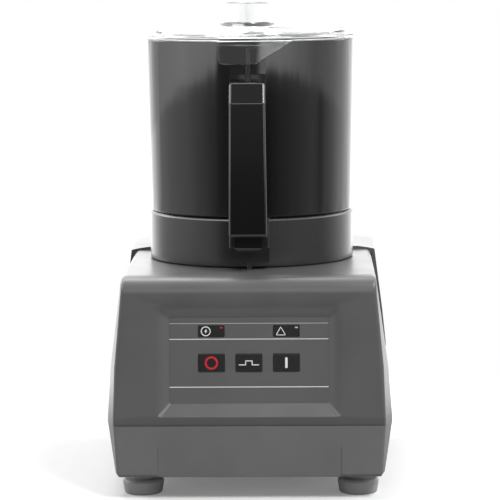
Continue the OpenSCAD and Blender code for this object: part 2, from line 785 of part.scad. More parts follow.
module motor_bolts() {
    color(steel_c) on_axis() around(4, motor_bolt_r) translate([0, 0, shield_low])
        screw_up(m5_r, m5_head_r, m5_head_h, core_top - shield_low + upper_rim_h * 0.8);
}

module bearing(r_out, r_in, h) {
    groove = h * 0.12;
    difference() {
        tube(r_out, r_in, h);
        for (z = [0, h]) translate([0, 0, z - groove])
            tube(r_out - hub_wall * 0.8, r_in + hub_wall * 0.8, 2 * groove);
    }
}

module upper_bearing() {
    color(steel_c) on_axis() translate([0, 0, deck_under - housing_t - upper_brg_h])
        bearing(upper_brg_r, shaft_d / 2 + run_fit, upper_brg_h);
}

module lower_bearing() {
    color(steel_c) on_axis() translate([0, 0, shield_low + hub_wall])
        bearing(lower_brg_r, lower_shaft_r + run_fit, lower_brg_h);
}

module motor_rotor() {
    color(alloy_c) on_axis() difference() {
        union() {
            translate([0, 0, core_low]) cylinder(r = rotor_d / 2, h = core_h);
            translate([0, 0, core_low - rotor_end_h])
                cylinder(r = rotor_d / 2 - rotor_end_in, h = core_h + 2 * rotor_end_h);
        }
        translate([0, 0, core_low - rotor_end_h - over])
            cylinder(r = shaft_d / 2, h = core_h + 2 * (rotor_end_h + over));
        // hollows inside the end rings
        for (z = [core_low - rotor_end_h - over, core_top]) translate([0, 0, z])
            tube(rotor_d / 2 - 1.5 * rotor_end_h, shaft_d / 2 + hub_wall, rotor_end_h + over);
    }
}

// Shaft sizes above the deck
pedestal_top = deck_z + pedestal_h;
bowl_floor_z = deck_z + gap + ring_h;          // underside of the bowl shell
bowl_floor_t = 4;
tube_top = bowl_floor_z + bowl_floor_t + tube_h;
tube_t = 3.5;                   // wall of the tube in the bowl
spindle_room = 2;               // between the tube and the spindle
drive_step = 1.5;               // shoulder between the spindle and its driving end
tube_in_r = tube_d / 2 - tube_t;
spindle_r = tube_in_r - spindle_room;
drive_r = spindle_r - drive_step;
drive_flat = drive_r * 0.8;
spindle_proud = 6;              // spindle above the tube
spindle_top = tube_top + spindle_proud;
drive_h = 22;
fan_h = 12;
fan_r = 54;
fan_room = 2;                   // between the fan and the bolt heads
fan_top = shield_low - m5_head_h - fan_room;
fan_hub_r = 16;
fan_blades = 9;
fan_plate_t = 2;

module drive_shaft() {
    lower_end = shield_low + lower_brg_h + hub_wall;
    color(steel_c) on_axis() {
        translate([0, 0, fan_top - fan_h]) cylinder(r = lower_shaft_r, h = lower_end - fan_top + fan_h);
        translate([0, 0, lower_end]) cylinder(r = shaft_d / 2, h = pedestal_top - lower_end);
        translate([0, 0, pedestal_top - over]) cylinder(r = spindle_r, h = spindle_top - pedestal_top + over);
        intersection() {
            translate([0, 0, spindle_top - over]) cylinder(r = drive_r, h = drive_h + over);
            translate([-drive_r, -drive_flat, spindle_top - over])
                cube([2 * drive_r, 2 * drive_flat, drive_h + over]);
        }
    }
}

module cooling_fan() {
    color(satin_black_c) on_axis() translate([0, 0, fan_top - fan_h]) difference() {
        union() {
            cylinder(r = fan_hub_r, h = fan_h);
            translate([0, 0, fan_h - fan_plate_t]) cylinder(r = fan_r, h = fan_plate_t);
            around(fan_blades, fan_hub_r - over) rotate(-12)
                translate([0, -fan_plate_t / 2, 0])
                cube([fan_r - fan_hub_r, fan_plate_t, fan_h - fan_plate_t / 2]);
        }
        translate([0, 0, -over]) cylinder(r = lower_shaft_r, h = fan_h + 2 * over);
    }
}

// Electrical parts on the floor of the tub
capacitor_r = 17;
capacitor_h = 76;
capacitor_room = 5;             // between the motor and the capacitor
capacitor_back = 20;            // capacitor behind the axis of the bowl
capacitor_x = motor_r + capacitor_r + capacitor_room;
capacitor_y = axis_y + capacitor_back;
capacitor_tag = [1.2, 6, 8];
capacitor_tag_in = 1;           // its tags left of its middle
clip_t = 1.5;
clip_band_h = 14;
clip_foot_w = 12;
terminal_size = [16, 46, 18];

module at_capacitor() {
    translate([capacitor_x, capacitor_y, tub_inner_z]) children();
}

module start_capacitor() {
    color(satin_black_c) at_capacitor() {
        cylinder(r = capacitor_r, h = capacitor_h);
        for (s = [-1, 1])
            translate([-capacitor_tag_in, s * capacitor_r / 3 - capacitor_tag[1] / 2, capacitor_h])
            cube(capacitor_tag);
    }
}

// Steel band round the capacitor, with a foot on the floor
module capacitor_clip() {
    color(steel_c) at_capacitor() {
        tube(capacitor_r + clip_t, capacitor_r, clip_band_h, capacitor_h / 3);
        translate([-clip_foot_w / 2, capacitor_r + clip_t / 4, 0]) {
            cube([clip_foot_w, clip_t * 0.75, capacitor_h / 3 + clip_band_h]);
            cube([clip_foot_w, clip_foot_w, clip_t]);
        }
    }
}

module terminal_block() {
    block = terminal_size;
    poles = 4;
    color("#d8d6cc") translate([-capacitor_x - block[0] / 2, axis_y, tub_inner_z])
        difference() {
            cube(block);
            for (i = [0:poles - 1]) translate([block[0] / 2, block[1] * (i + 0.5) / poles, block[2] / 2])
                cylinder(r = m4_r, h = block[2]);
            for (i = [1:poles - 1]) translate([-over, block[1] * i / poles - clip_t / 2, block[2] * 0.7])
                cube([block[0] + 2 * over, clip_t, block[2]]);
        }
}

// Pedestal that carries and keys the bowl

module drive_pedestal() {
    seal_r = shaft_seal_r + seat_gap;
    color(alloy_c) on_axis() difference() {
        union() {
            difference() {
                translate([0, 0, deck_z]) cylinder(r = pedestal_r, h = pedestal_h);
                translate([0, 0, deck_z - over])
                    cylinder(r = pedestal_r - pedestal_wall, h = pedestal_h - pedestal_wall + over);
            }
            translate([0, 0, deck_z]) cylinder(r = shaft_seal_r + hub_wall, h = pedestal_h);
            around(4, pedestal_screw_r, 45)
                translate([0, 0, deck_z]) cylinder(r = pedestal_boss_r, h = pedestal_h);
            around(3, pedestal_r - key_h, 90) translate([0, -key_w / 2, deck_z])
                cube([2 * key_h, key_w, pedestal_h - pedestal_wall]);
        }
        translate([0, 0, deck_z - over]) cylinder(r = shaft_d / 2 + over, h = pedestal_h + 2 * over);
        translate([0, 0, pedestal_top - shaft_seal_h]) cylinder(r = shaft_seal_r, h = shaft_seal_h + over);
        around(4, pedestal_screw_r, 45) {
            translate([0, 0, deck_z - over]) cylinder(r = m5_r + seat_gap, h = pedestal_h + 2 * over);
            translate([0, 0, pedestal_top - m5_head_h]) cylinder(r = m5_head_r + gap, h = m5_head_h + over);
        }
    }
}

shaft_seal_r = 20;
shaft_seal_h = 7;
seal_edge = 2;                  // width of the seal's two lips

module shaft_seal() {
    color(rubber_c) on_axis() translate([0, 0, pedestal_top - shaft_seal_h]) difference() {
        tube(shaft_seal_r, shaft_d / 2 + run_fit, shaft_seal_h);
        translate([0, 0, shaft_seal_h * 0.7])
            tube(shaft_seal_r - seal_edge, shaft_d / 2 + seal_edge, shaft_seal_h);
    }
}

module pedestal_screws() {
    color(steel_c) on_axis() around(4, pedestal_screw_r, 45)
        translate([0, 0, pedestal_top - m5_head_h]) rotate([180, 0, 0])
        screw_up(m5_r, m5_head_r, m5_head_h, pedestal_h - m5_head_h + housing_t + shield_t / 2);
}

// Safety switch under the deck, worked by the rod in the handle

plunger_rest = 3;               // how far the pressed plunger stands out
rod_low = deck_z + plunger_rest + gap;
plunger_in = 12;

module at_rod() {
    translate([0, axis_y - rod_from_axis, 0]) children();
}

module safety_switch() {
    color(satin_black_c) at_rod() difference() {
        translate([-switch_box[0] / 2, -switch_box[1] / 2, deck_under - switch_box[2]]) cube(switch_box);
        translate([0, 0, deck_under - plunger_in]) cylinder(r = plunger_r + gap, h = plunger_in + over);
        for (s = [-1, 1]) translate([s * switch_box[0] / 3, -switch_box[1], deck_under - switch_box[2] / 2])
            rotate([-90, 0, 0]) cylinder(r = m4_r * 0.8, h = 2 * switch_box[1]);
    }
}

module switch_plunger() {
    color("#c9c9c4") at_rod() translate([0, 0, deck_under - plunger_in + gap])
        cylinder(r = plunger_r, h = housing_t + plunger_in - gap + plunger_rest);
}

// Bowl

bowl_r = bowl_d / 2;
rim_z = bowl_floor_z + bowl_h;
bowl_top_r = bowl_r + bowl_draft;
floor_fillet = 6;
groove_d = 2;                   // groove between the bowl and its ring
tube_draft = 0.5;
rim_bead = 0.8;

function bowl_r_at(z) = bowl_r + bowl_draft * (z - bowl_floor_z) / bowl_h;

module bowl_shell() {
    inner_low = bowl_r - bowl_t;
    inner_top = bowl_top_r - bowl_t;
    floor_top = bowl_floor_z + bowl_floor_t;
    color(black_c) on_axis() rotate_extrude($fn = 128) difference() {
        union() {
            polygon([
                [tube_in_r, bowl_floor_z], [bowl_r - groove_d, bowl_floor_z], [bowl_r, bowl_floor_z + groove_d],
                [bowl_top_r, rim_z - rim_bead], [bowl_top_r - rim_bead, rim_z], [inner_top, rim_z],
                [inner_low, floor_top + floor_fillet], [inner_low - floor_fillet, floor_top],
                [tube_d / 2 + floor_fillet / 2, floor_top], [tube_d / 2, floor_top + floor_fillet / 2],
                [tube_d / 2 - tube_draft, tube_top - over], [tube_d / 2 - tube_draft - over, tube_top],
                [tube_in_r, tube_top]
            ]);
            // the round corner between the floor and the wall
            difference() {
                translate([inner_low - floor_fillet, floor_top])
                    square([floor_fillet + bowl_t / 2, floor_fillet]);
                translate([inner_low - floor_fillet, floor_top + floor_fillet]) circle(r = floor_fillet);
            }
        }
        // play for the collar of the ring
        translate([tube_in_r - over, bowl_floor_z - over]) square([over, over]);
    }
}

ring_proud = 0.5;               // ring outside the foot of the bowl
ring_r = bowl_r + ring_proud;
ring_t = 3;
collar_r = pedestal_r + gap + seat_gap;
collar_wall = 4;
web_t = 4;
ring_low = deck_z + gap;
ring_screw_r = 76;
ring_screw_count = 6;
ring_lip = 1.2;

module bowl_base_ring() {
    color(satin_black_c) on_axis() difference() {
        union() {
            rotate_extrude($fn = 128) polygon([
                [ring_r - ring_t, ring_low], [ring_r - ring_lip, ring_low], [ring_r, ring_low + ring_lip],
                [ring_r, bowl_floor_z - groove_d], [ring_r - groove_d, bowl_floor_z],
                [pedestal_r - over, bowl_floor_z], [pedestal_r - over, bowl_floor_z - web_t],
                [ring_r - ring_t, bowl_floor_z - web_t]
            ]);
            tube(collar_r + key_h + collar_wall, collar_r, bowl_floor_z - ring_low - ring_lip,
                ring_low + ring_lip);
        }
        // keyways that slide down over the keys of the pedestal
        around(3, collar_r - over, 90) translate([0, -key_w / 2 - gap, ring_low - over])
            cube([key_h + gap + over, key_w + 2 * gap, pedestal_h - pedestal_wall + gap + over]);
        around(ring_screw_count, ring_screw_r, 30)
            translate([0, 0, bowl_floor_z - web_t - over]) cylinder(r = m4_r + seat_gap, h = web_t + 2 * over);
        for (s = [-1, 1]) guide_screw_place(s)
            cylinder(r = m4_r * 0.8 + seat_gap, h = 2 * bowl_t + ring_t, center = true);
    }
}

module ring_screws() {
    color(steel_c) on_axis() around(ring_screw_count, ring_screw_r, 30)
        translate([0, 0, bowl_floor_z - web_t]) screw_up(m4_r, m4_head_r, m4_head_h, web_t);
}

// Handle with the channel for the safety rod

column_w = 31.4;
handle_top = rim_z - handle_drop;
column_cover = 4.9;             // column in front of the middle of the rod
column_drop = 4;                // top of the column below the rim
column_set = 2;                 // upper column behind the middle of the rod
column_front = rod_from_axis + column_cover;
column_top = rim_z - column_drop;
upper_column_r = rod_from_axis - column_set;
top_fall = 6;                   // fall of the handle's top towards the front
facet_in = 7;                   // depth of the thumb facet at the top
facet_drop = 17;                // height of the thumb facet
facet_edge_r = 1;               // edge along the top of the facet
grip_half_w = (handle_w + handle_flare) / 2;
grip_drop = 11;                 // foot of the grip below the floor of the bowl
arm_drop = 13;                  // foot of the lower arm below that
grip_low = bowl_floor_z - grip_drop;
arm_w = 24;
arm_low = grip_low - arm_drop;
arm_edge = 3;                   // cut along the lower edges of the arm
arm_t = 22;
bridge_t = 29;
grip_edge_r = 4;
hole_r = 9;
bore_play = 0.3;
spring_r = 3.3;
spring_bore_r = 3.7;
spring_seat = 14;               // seat of the spring above the foot of the ring
spring_head = 3;                // top of the spring below the floor of the bowl
spring_room = 10;               // room above the spring for the collar of the rod
spring_low = ring_low + spring_seat;
spring_top = bowl_floor_z - spring_head;

// Side view of the handle: [distance from the bowl axis, height, corner radius]
function handle_side() = rounded([
    [bowl_r - bowl_t, handle_top, 0],
    [bowl_r - bowl_t, arm_low, 0],
    [handle_reach - grip_t / 2, arm_low, grip_edge_r],
    [handle_reach - grip_t / 2, grip_low, 0],
    [handle_reach, grip_low, grip_edge_r],
    [handle_reach, handle_top - top_fall - facet_drop, grip_edge_r],
    [handle_reach - facet_in, handle_top - top_fall, facet_edge_r],
    [column_front, handle_top, grip_edge_r]
]);

// The gap for the fingers, in the same view
function finger_gap() = rounded([
    [column_front, arm_low + arm_t, hole_r],
    [handle_reach - grip_t, arm_low + arm_t, hole_r],
    [handle_reach - grip_t, handle_top - bridge_t, hole_r],
    [column_front, handle_top - bridge_t, hole_r]
]);

// Draws an outline of [distance from the axis, height] and sweeps it across the handle
module across(w) {
    translate([w / 2, 0, 0]) rotate([90, 0, -90]) linear_extrude(w) children();
}

module bowl_handle() {
    color(black_c) on_axis() difference() {
        union() {
            // grip, column and arms
            intersection() {
                across(housing_w) polygon(handle_side());
                rotate([90, 0, 0]) linear_extrude(handle_reach + over) polygon([
                    [-handle_w / 2, rim_z], [-handle_w / 2, handle_top - top_fall],
                    [-grip_half_w, grip_low], [-arm_w / 2, grip_low],
                    [-arm_w / 2, arm_low + arm_edge], [-arm_w / 2 + arm_edge, arm_low],
                    [arm_w / 2 - arm_edge, arm_low], [arm_w / 2, arm_low + arm_edge],
                    [arm_w / 2, grip_low], [grip_half_w, grip_low],
                    [handle_w / 2, handle_top - top_fall], [handle_w / 2, rim_z]
                ]);
            }
            // the column up to the rim, behind the tab of the lid
            intersection() {
                translate([-column_w / 2, -upper_column_r, bowl_floor_z + groove_d])
                    cube([column_w, upper_column_r - bowl_r + bowl_t, column_top - bowl_floor_z - groove_d]);
                cylinder(r = upper_column_r, h = rim_z);
            }
        }
        across(housing_w) polygon(finger_gap());
        // the bowl itself
        translate([0, 0, bowl_floor_z])
            cylinder(r1 = bowl_r + seat_gap, r2 = bowl_top_r + seat_gap, h = bowl_h, $fn = 128);
        translate([0, 0, arm_low - over])
            cylinder(r = ring_r + seat_gap, h = bowl_floor_z - arm_low + 2 * over, $fn = 128);
        // the guide panel below takes the place of the column there
        translate([-guide_w / 2 - seat_gap, -column_front - seat_gap, arm_low - over])
            cube([guide_w + 2 * seat_gap, column_front, bowl_floor_z + groove_d - arm_low + over]);
        // channel for the rod, wider where its spring sits
        translate([0, -rod_from_axis, arm_low - over]) cylinder(r = rod_r + bore_play, h = bowl_h + ring_h);
        translate([0, -rod_from_axis, arm_low - over])
            cylinder(r = spring_bore_r, h = spring_top + spring_room - arm_low);
    }
}

guide_w = 36;
guide_edge = 2;
guide_up = 6;                   // foot of the guide above the foot of the ring
guide_screw_up = 12;            // its screws above the foot of the ring
guide_screw_in = 5;             // length of these screws in the guide
guide_low = ring_low + guide_up;
guide_top = bowl_floor_z + groove_d - seat_gap;

module guide_screw_place(s) {
    rotate(s * 7.5) translate([0, -ring_r + ring_t / 2, ring_low + guide_screw_up]) rotate([90, 0, 0])
        children();
}

// Block on the ring that guides the lower end of the rod
module rod_guide_panel() {
    color(black_c) on_axis() difference() {
        translate([0, 0, guide_low]) linear_extrude(guide_top - guide_low) polygon(rounded([
            [-guide_w / 2, bowl_t - column_front, guide_edge], [guide_w / 2, bowl_t - column_front, guide_edge],
            [guide_w / 2, -bowl_r + bowl_t, 0], [-guide_w / 2, -bowl_r + bowl_t, 0]
        ]));
        translate([0, 0, ring_low - over])
            cylinder(r = ring_r + seat_gap, h = ring_h + groove_d + 2 * over, $fn = 128);
        translate([0, -rod_from_axis, ring_low - over])
            cylinder(r = rod_r + bore_play, h = ring_h + groove_d + 2 * over);
        translate([0, -rod_from_axis, ring_low - over]) cylinder(r = plunger_r + gap, h = guide_up + 2 * over);
        translate([0, -rod_from_axis, spring_low]) cylinder(r = spring_bore_r, h = ring_h);
        for (s = [-1, 1]) guide_screw_place(s)
            cylinder(r = m4_r * 0.8, h = guide_screw_in + ring_t);
    }
}

module panel_fixing_screws() {
    color(steel_c) on_axis() for (s = [-1, 1]) guide_screw_place(s)
        translate([0, 0, -ring_t / 2 - seat_gap]) 
        screw_up(m4_r * 0.8, m4_head_r * 0.8, m4_head_h * 0.8, ring_t + guide_screw_in);
}

// Safety rod: runs from under the lid tab down to the switch plunger
tab_drop = 20;                  // foot of the lid tab below the rim
tab_low = rim_z - tab_drop;
rod_lid_gap = 1;
rod_top = tab_low - rod_lid_gap;
rod_collar_h = 2;

module interlock_rod() {
    color(satin_black_c) at_rod() {
        translate([0, 0, rod_low]) cylinder(r = rod_r, h = rod_top - rod_low);
        translate([0, 0, spring_top]) cylinder(r = spring_r, h = rod_collar_h);
    }
}

// A coil spring as one unbroken wire with flat rest on each end
spring_wire = 0.8;
spring_turns = 7;
spring_steps = 12;
wire_sides = 6;

function coil_point(i, mean_r, low, high) =
    let (a = 360 * i / spring_steps, f = i / (spring_turns * spring_steps))
    [mean_r * cos(a), mean_r * sin(a), low + (high - low) * f];

module coil(mean_r, wire, low, high) {
    last = spring_turns * spring_steps;
    pitch_angle = atan((high - low) / (2 * PI * mean_r * spring_turns));
    loft([for (i = [0:last])
        let (c = coil_point(i, mean_r, low, high), a = 360 * i / spring_steps)
        [for (k = [0:wire_sides - 1])
            let (b = -360 * k / wire_sides, out = wire / 2 * cos(b), up = wire / 2 * sin(b))
            c + [out * cos(a) + up * sin(pitch_angle) * sin(a),
                out * sin(a) - up * sin(pitch_angle) * cos(a), up * cos(pitch_angle)]]]);
}

module rod_spring() {
    color(steel_c) at_rod()
        coil(spring_r - spring_wire / 2, spring_wire,
            spring_low + spring_wire / 2, spring_top - spring_wire / 2);
}

// Knife

hub_rise = 2.5;                 // hub above the bowl floor
hub_room = 1;                   // between the hub and the tube
hub_t = 3;
hub_flange_w = 6;
hub_flange_t = 2.5;
hub_cap_t = 6;                  // solid top of the hub
hub_low = bowl_floor_z + bowl_floor_t + hub_rise;
hub_in_r = tube_d / 2 + hub_room;
hub_r = hub_in_r + hub_t;
hub_flange_r = hub_r + hub_flange_w;
hub_top = spindle_top + drive_h + hub_cap_t;
lower_blade_z = hub_low + hub_flange_t;
upper_blade_z = lower_blade_z + blade_t + spacer_h;
nut_z = upper_blade_z + blade_t;
nut_h = 9;
hub_step = 1.5;                 // shoulder above the thread of the nut
hub_edge = 4;                   // sloping edge of the top
spacer_in = 1;
notch_r = 3;                    // notches for the key that turns the nut
hub_top_r = hub_r - hub_step;
cap_r = hub_top_r * 0.8;

module knife_hub() {
    color(satin_black_c) on_axis() difference() {
        rotate_extrude() polygon([
            [0, hub_low], [hub_flange_r, hub_low], [hub_flange_r, lower_blade_z], [hub_r, lower_blade_z],
            [hub_r, nut_z + nut_h], [hub_top_r, nut_z + nut_h + over], [hub_top_r, hub_top - hub_edge],
            [cap_r, hub_top], [0, hub_top]
        ]);
        translate([0, 0, hub_low - over]) cylinder(r = hub_in_r, h = tube_top - hub_low + 2 * over);
        translate([0, 0, tube_top]) cylinder(r = spindle_r + gap, h = spindle_top - tube_top + gap);
        // drive socket with two flats
        intersection() {
            translate([0, 0, spindle_top - over]) cylinder(r = drive_r + run_fit, h = drive_h + over + gap);
            translate([-2 * drive_r, -drive_flat - run_fit, spindle_top - over])
                cube([4 * drive_r, 2 * (drive_flat + run_fit), drive_h + over + gap]);
        }
    }
}

// Blade outline, as shares of the tip radius: [x, y, radius] of the two arcs of a sickle
front_arc_shares = [0.39, -0.39, 0.736];
back_arc_shares = [0.598, -0.46, 0.625];
bevel_w = 5;

module arc_disc(shares) {
    translate([shares[0] * blade_r, shares[1] * blade_r]) circle(r = shares[2] * blade_r, $fn = 96);
}

// One sickle arm in plan
module arm_outline() {
    intersection() {
        difference() {
            arc_disc(front_arc_shares);
            arc_disc(back_arc_shares);
        }
        circle(r = blade_r, $fn = 128);
        translate([0, -hub_flange_r]) square(blade_r);
    }
}

// Two sickle arms, each ground to an edge along its front arc, on a ring
module blade() {
    front_r = front_arc_shares[2] * blade_r;
    difference() {
        linear_extrude(blade_t) difference() {
            union() {
                circle(r = hub_flange_r);
                arm_outline();
                rotate(180) arm_outline();
            }
            circle(r = hub_r + seat_gap / 2);
        }
        for (side = [0, 180]) rotate(side) difference() {
            translate([hub_flange_r, -front_r / 8, -over]) cube([blade_r, front_r, blade_t + 2 * over]);
            translate([front_arc_shares[0] * blade_r, front_arc_shares[1] * blade_r, -2 * over])
                cylinder(r1 = front_r + 2 * over * bevel_w / blade_t,
                    r2 = front_r - bevel_w - 2 * over * bevel_w / blade_t, h = blade_t + 4 * over, $fn = 96);
        }
    }
}

module lower_blade() {
    color(steel_c) on_axis() translate([0, 0, lower_blade_z]) rotate(-20) blade();
}

module upper_blade() {
    color(steel_c) on_axis() translate([0, 0, upper_blade_z]) rotate(70) blade();
}

module blade_spacer() {
    color(satin_black_c) on_axis() 
        tube(hub_flange_r - spacer_in, hub_r + seat_gap / 2, spacer_h, lower_blade_z + blade_t);
}

module blade_clamp_nut() {
    color(satin_black_c) on_axis() difference() {
        tube(hub_flange_r, hub_r + seat_gap / 2, nut_h, nut_z);
        around(6, hub_flange_r + notch_r / 2)
            translate([0, 0, nut_z + nut_h / 3]) cylinder(r = notch_r, h = nut_h);
    }
}

// Lid

lid_r = lid_d / 2;
flange_z = rim_z + gap;
lid_flange_t = 3.7;
flange_w = 11;                  // flange outside the crown
seal_room = 3.4;                // between the skirt and the bowl
skirt_h = 9.5;                  // skirt below the rim of the bowl
seal_foot = 2;                  // ledge under the seal
flange_top = flange_z + lid_flange_t;
crown_top = flange_top + crown_h;
crown_r = lid_r - flange_w;
skirt_r = bowl_top_r - bowl_t - seal_room;
skirt_low = rim_z - skirt_h;
seal_low = skirt_low + seal_foot;
seal_h = 5;
lip_reach = 8;                  // how far the grip lip stands out
lip_drop = 3.5;                 // foot of the lip below the rim
lip_low = rim_z - lip_drop;
tab_room = 0.7;                 // between the tab and the column
tab_in_r = upper_column_r + tab_room;
tab_t = 3;
tab_left = -26.5;
tab_flat_end = 6.6;
tab_right = 39;
feed_x = -2;
feed_r = feed_d / 2;
feed_foot = 3;
feed_edge = 0.6;
crown_edge = [3, 2];            // sloping edge of the crown
crown_foot = [4, 1.5];          // cove at the foot of the crown
flange_edges = [0.8, 0.5];      // softened edges of the flange, top and bottom
tab_corner_r = 4;
tab_ramp_r = 1.5;

module lid_gasket() {
    color("#8d9295") on_axis()
        tube(bowl_r_at(seal_low) - bowl_t - gap, skirt_r + gap, seal_h, seal_low);
}

module at_feed() {
    translate([feed_x, -feed_front, 0]) children();
}

// Front view of the tab with its ramp, [x, z, corner radius]
function tab_front() = rounded([
    [tab_left, flange_top, 0], [tab_left, tab_low, tab_corner_r], [tab_flat_end, tab_low, tab_ramp_r],
    [tab_right, flange_z, 0], [tab_right, flange_top, 0]
]);

module lid() {
    lip_right = tab_left + lip_w;
    color(clear_c) on_axis() difference() {
        union() {
            rotate_extrude($fn = 128) polygon([
                [0, crown_top], [crown_r - crown_edge[0], crown_top], [crown_r, crown_top - crown_edge[1]],
                [crown_r + crown_foot[0] / 2, flange_top + crown_foot[1]],
                [crown_r + crown_foot[0], flange_top],
                [lid_r - flange_edges[0], flange_top], [lid_r, flange_top - flange_edges[0]],
                [lid_r, flange_z + flange_edges[1]], [lid_r - flange_edges[1], flange_z], [skirt_r, flange_z],
                [skirt_r, seal_low - gap], [skirt_r + seal_foot, seal_low - gap],
                [skirt_r + seal_foot, skirt_low],
                [skirt_r - lid_t, skirt_low], [skirt_r - lid_t, flange_z + crown_edge[1]],
                [crown_r - lid_t, crown_top - lid_t - crown_edge[1]],
                [crown_r - lid_t - crown_edge[0], crown_top - lid_t], [0, crown_top - lid_t]
            ]);
            // feed tube with a foot that runs out into the crown
            at_feed() rotate_extrude() polygon([
                [0, crown_top - lid_t], [feed_r + feed_foot, crown_top - lid_t],
                [feed_r + feed_foot, crown_top],
                [feed_r, crown_top + feed_foot], [feed_r, crown_top + feed_h - feed_edge],
                [feed_r - feed_edge, crown_top + feed_h], [0, crown_top + feed_h]
            ]);
            // grip lip
            intersection() {
                union() {
                    tube(lid_r + lip_reach, lid_r - over, flange_top - flange_z, flange_z);
                    tube(lid_r + lip_reach, tab_in_r, flange_z - lip_low + over, lip_low);
                }
                translate([tab_left, -housing_d, lip_low]) cube([lip_w, housing_d, flange_top - lip_low]);
            }
            // tab in front of the rod, with the ramp that works it
            intersection() {
                union() {
                    tube(tab_in_r + tab_t, tab_in_r, flange_top - tab_low, tab_low);
                    tube(tab_in_r + tab_t, lid_r - over, flange_top - flange_z, flange_z);
                }
                rotate([90, 0, 0]) linear_extrude(housing_d) polygon(tab_front());
            }
        }
        at_feed() translate([0, 0, skirt_low]) cylinder(r = feed_r - lid_t, h = crown_top + feed_h);
    }
}

upper_housing();
lower_tub();
bottom_plate();
rear_cover();
cord_gland();
feet();
foot_screws();
plate_screws();
housing_screws();
cover_screws();
panel_overlay();
power_indicator();
fault_indicator();
control_board();
board_screws();
button_stop();
button_pulse();
button_start();
upper_end_shield();
lower_end_shield();
stator_core();
stator_windings();
motor_bolts();
upper_bearing();
lower_bearing();
motor_rotor();
drive_shaft();
cooling_fan();
start_capacitor();
capacitor_clip();
terminal_block();
drive_pedestal();
pedestal_screws();
shaft_seal();
safety_switch();
switch_plunger();
bowl_shell();
bowl_base_ring();
ring_screws();
bowl_handle();
rod_guide_panel();
panel_fixing_screws();
interlock_rod();
rod_spring();
knife_hub();
lower_blade();
blade_spacer();
upper_blade();
blade_clamp_nut();
lid_gasket();
lid();
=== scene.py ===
"""Looks of a table-top food processor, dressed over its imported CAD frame.

Every length is in metres, in the frame of the CAD model: X to the right, Y to
the back and Z up, with the origin on the table.
"""

import logging
import math
from contextlib import contextmanager
from dataclasses import dataclass, field
from enum import Enum
from typing import Iterator

import bmesh
import bpy
from mathutils import Matrix, Vector


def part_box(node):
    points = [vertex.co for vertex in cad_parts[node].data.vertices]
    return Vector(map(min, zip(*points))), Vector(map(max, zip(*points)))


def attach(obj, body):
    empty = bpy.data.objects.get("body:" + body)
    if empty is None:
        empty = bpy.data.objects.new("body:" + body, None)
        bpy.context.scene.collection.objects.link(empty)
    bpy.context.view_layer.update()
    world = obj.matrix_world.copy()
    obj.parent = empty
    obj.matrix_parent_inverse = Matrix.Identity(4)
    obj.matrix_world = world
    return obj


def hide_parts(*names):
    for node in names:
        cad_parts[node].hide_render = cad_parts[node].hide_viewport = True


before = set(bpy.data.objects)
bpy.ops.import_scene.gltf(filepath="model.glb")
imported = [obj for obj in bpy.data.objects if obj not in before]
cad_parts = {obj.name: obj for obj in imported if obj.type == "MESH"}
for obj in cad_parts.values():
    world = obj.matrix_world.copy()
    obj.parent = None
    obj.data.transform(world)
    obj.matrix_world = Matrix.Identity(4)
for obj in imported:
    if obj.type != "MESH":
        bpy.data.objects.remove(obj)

LOG = logging.getLogger("food_processor")
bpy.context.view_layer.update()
# Beyond the machine on any axis, for boxes that leave a side open.
FAR = 1.0
# Faces across each softened edge.
EDGE_FACES = 2

Point = tuple[float, float, float]
Colour = tuple[float, float, float, float]


def linear(code: str) -> Colour:
    """Turn an sRGB hex code into a linear colour.

    Args:
        code: Six hex digits after a hash sign.

    Returns:
        Red, green, blue and an alpha of one.
    """
    shares = [int(code[i:i + 2], 16) / 255 for i in (1, 3, 5)]
    red, green, blue = (s / 12.92 if s <= 0.04045 else ((s + 0.055) / 1.055) ** 2.4 for s in shares)
    return red, green, blue, 1.0


def add_node(tree: bpy.types.NodeTree, kind: str, settings: dict | None = None,
             inputs: dict | None = None) -> bpy.types.Node:
    """Add one shader node with its settings, values and links.

    Args:
        tree: Node tree that takes the node.
        kind: Type name of the node.
        settings: Properties of the node to set.
        inputs: A value, or a socket to link, for each named input.

    Returns:
        The new node.
    """
    node = tree.nodes.new(kind)
    for key, value in (settings or {}).items():
        setattr(node, key, value)
    for key, value in (inputs or {}).items():
        if isinstance(value, bpy.types.NodeSocket):
            tree.links.new(value, node.inputs[key])
        else:
            node.inputs[key].default_value = value
    return node


class Texture(Enum):
    """How the surface of a material was made."""

    STIPPLED = "sprayed powder that has flowed into low bumps"
    SPARKED = "moulded in a spark-eroded tool"
    POLISHED = "moulded in a polished tool"
    BRUSHED = "ground in one direction"
    TURNED = "ground or turned round the axis"
    CAST = "cast in sand"
    WOUND = "wound from round wire"
    PRINTED = "ink on film"


# How far the roughness of a surface drifts, as a share of it.
SHEEN_DRIFT = 0.08


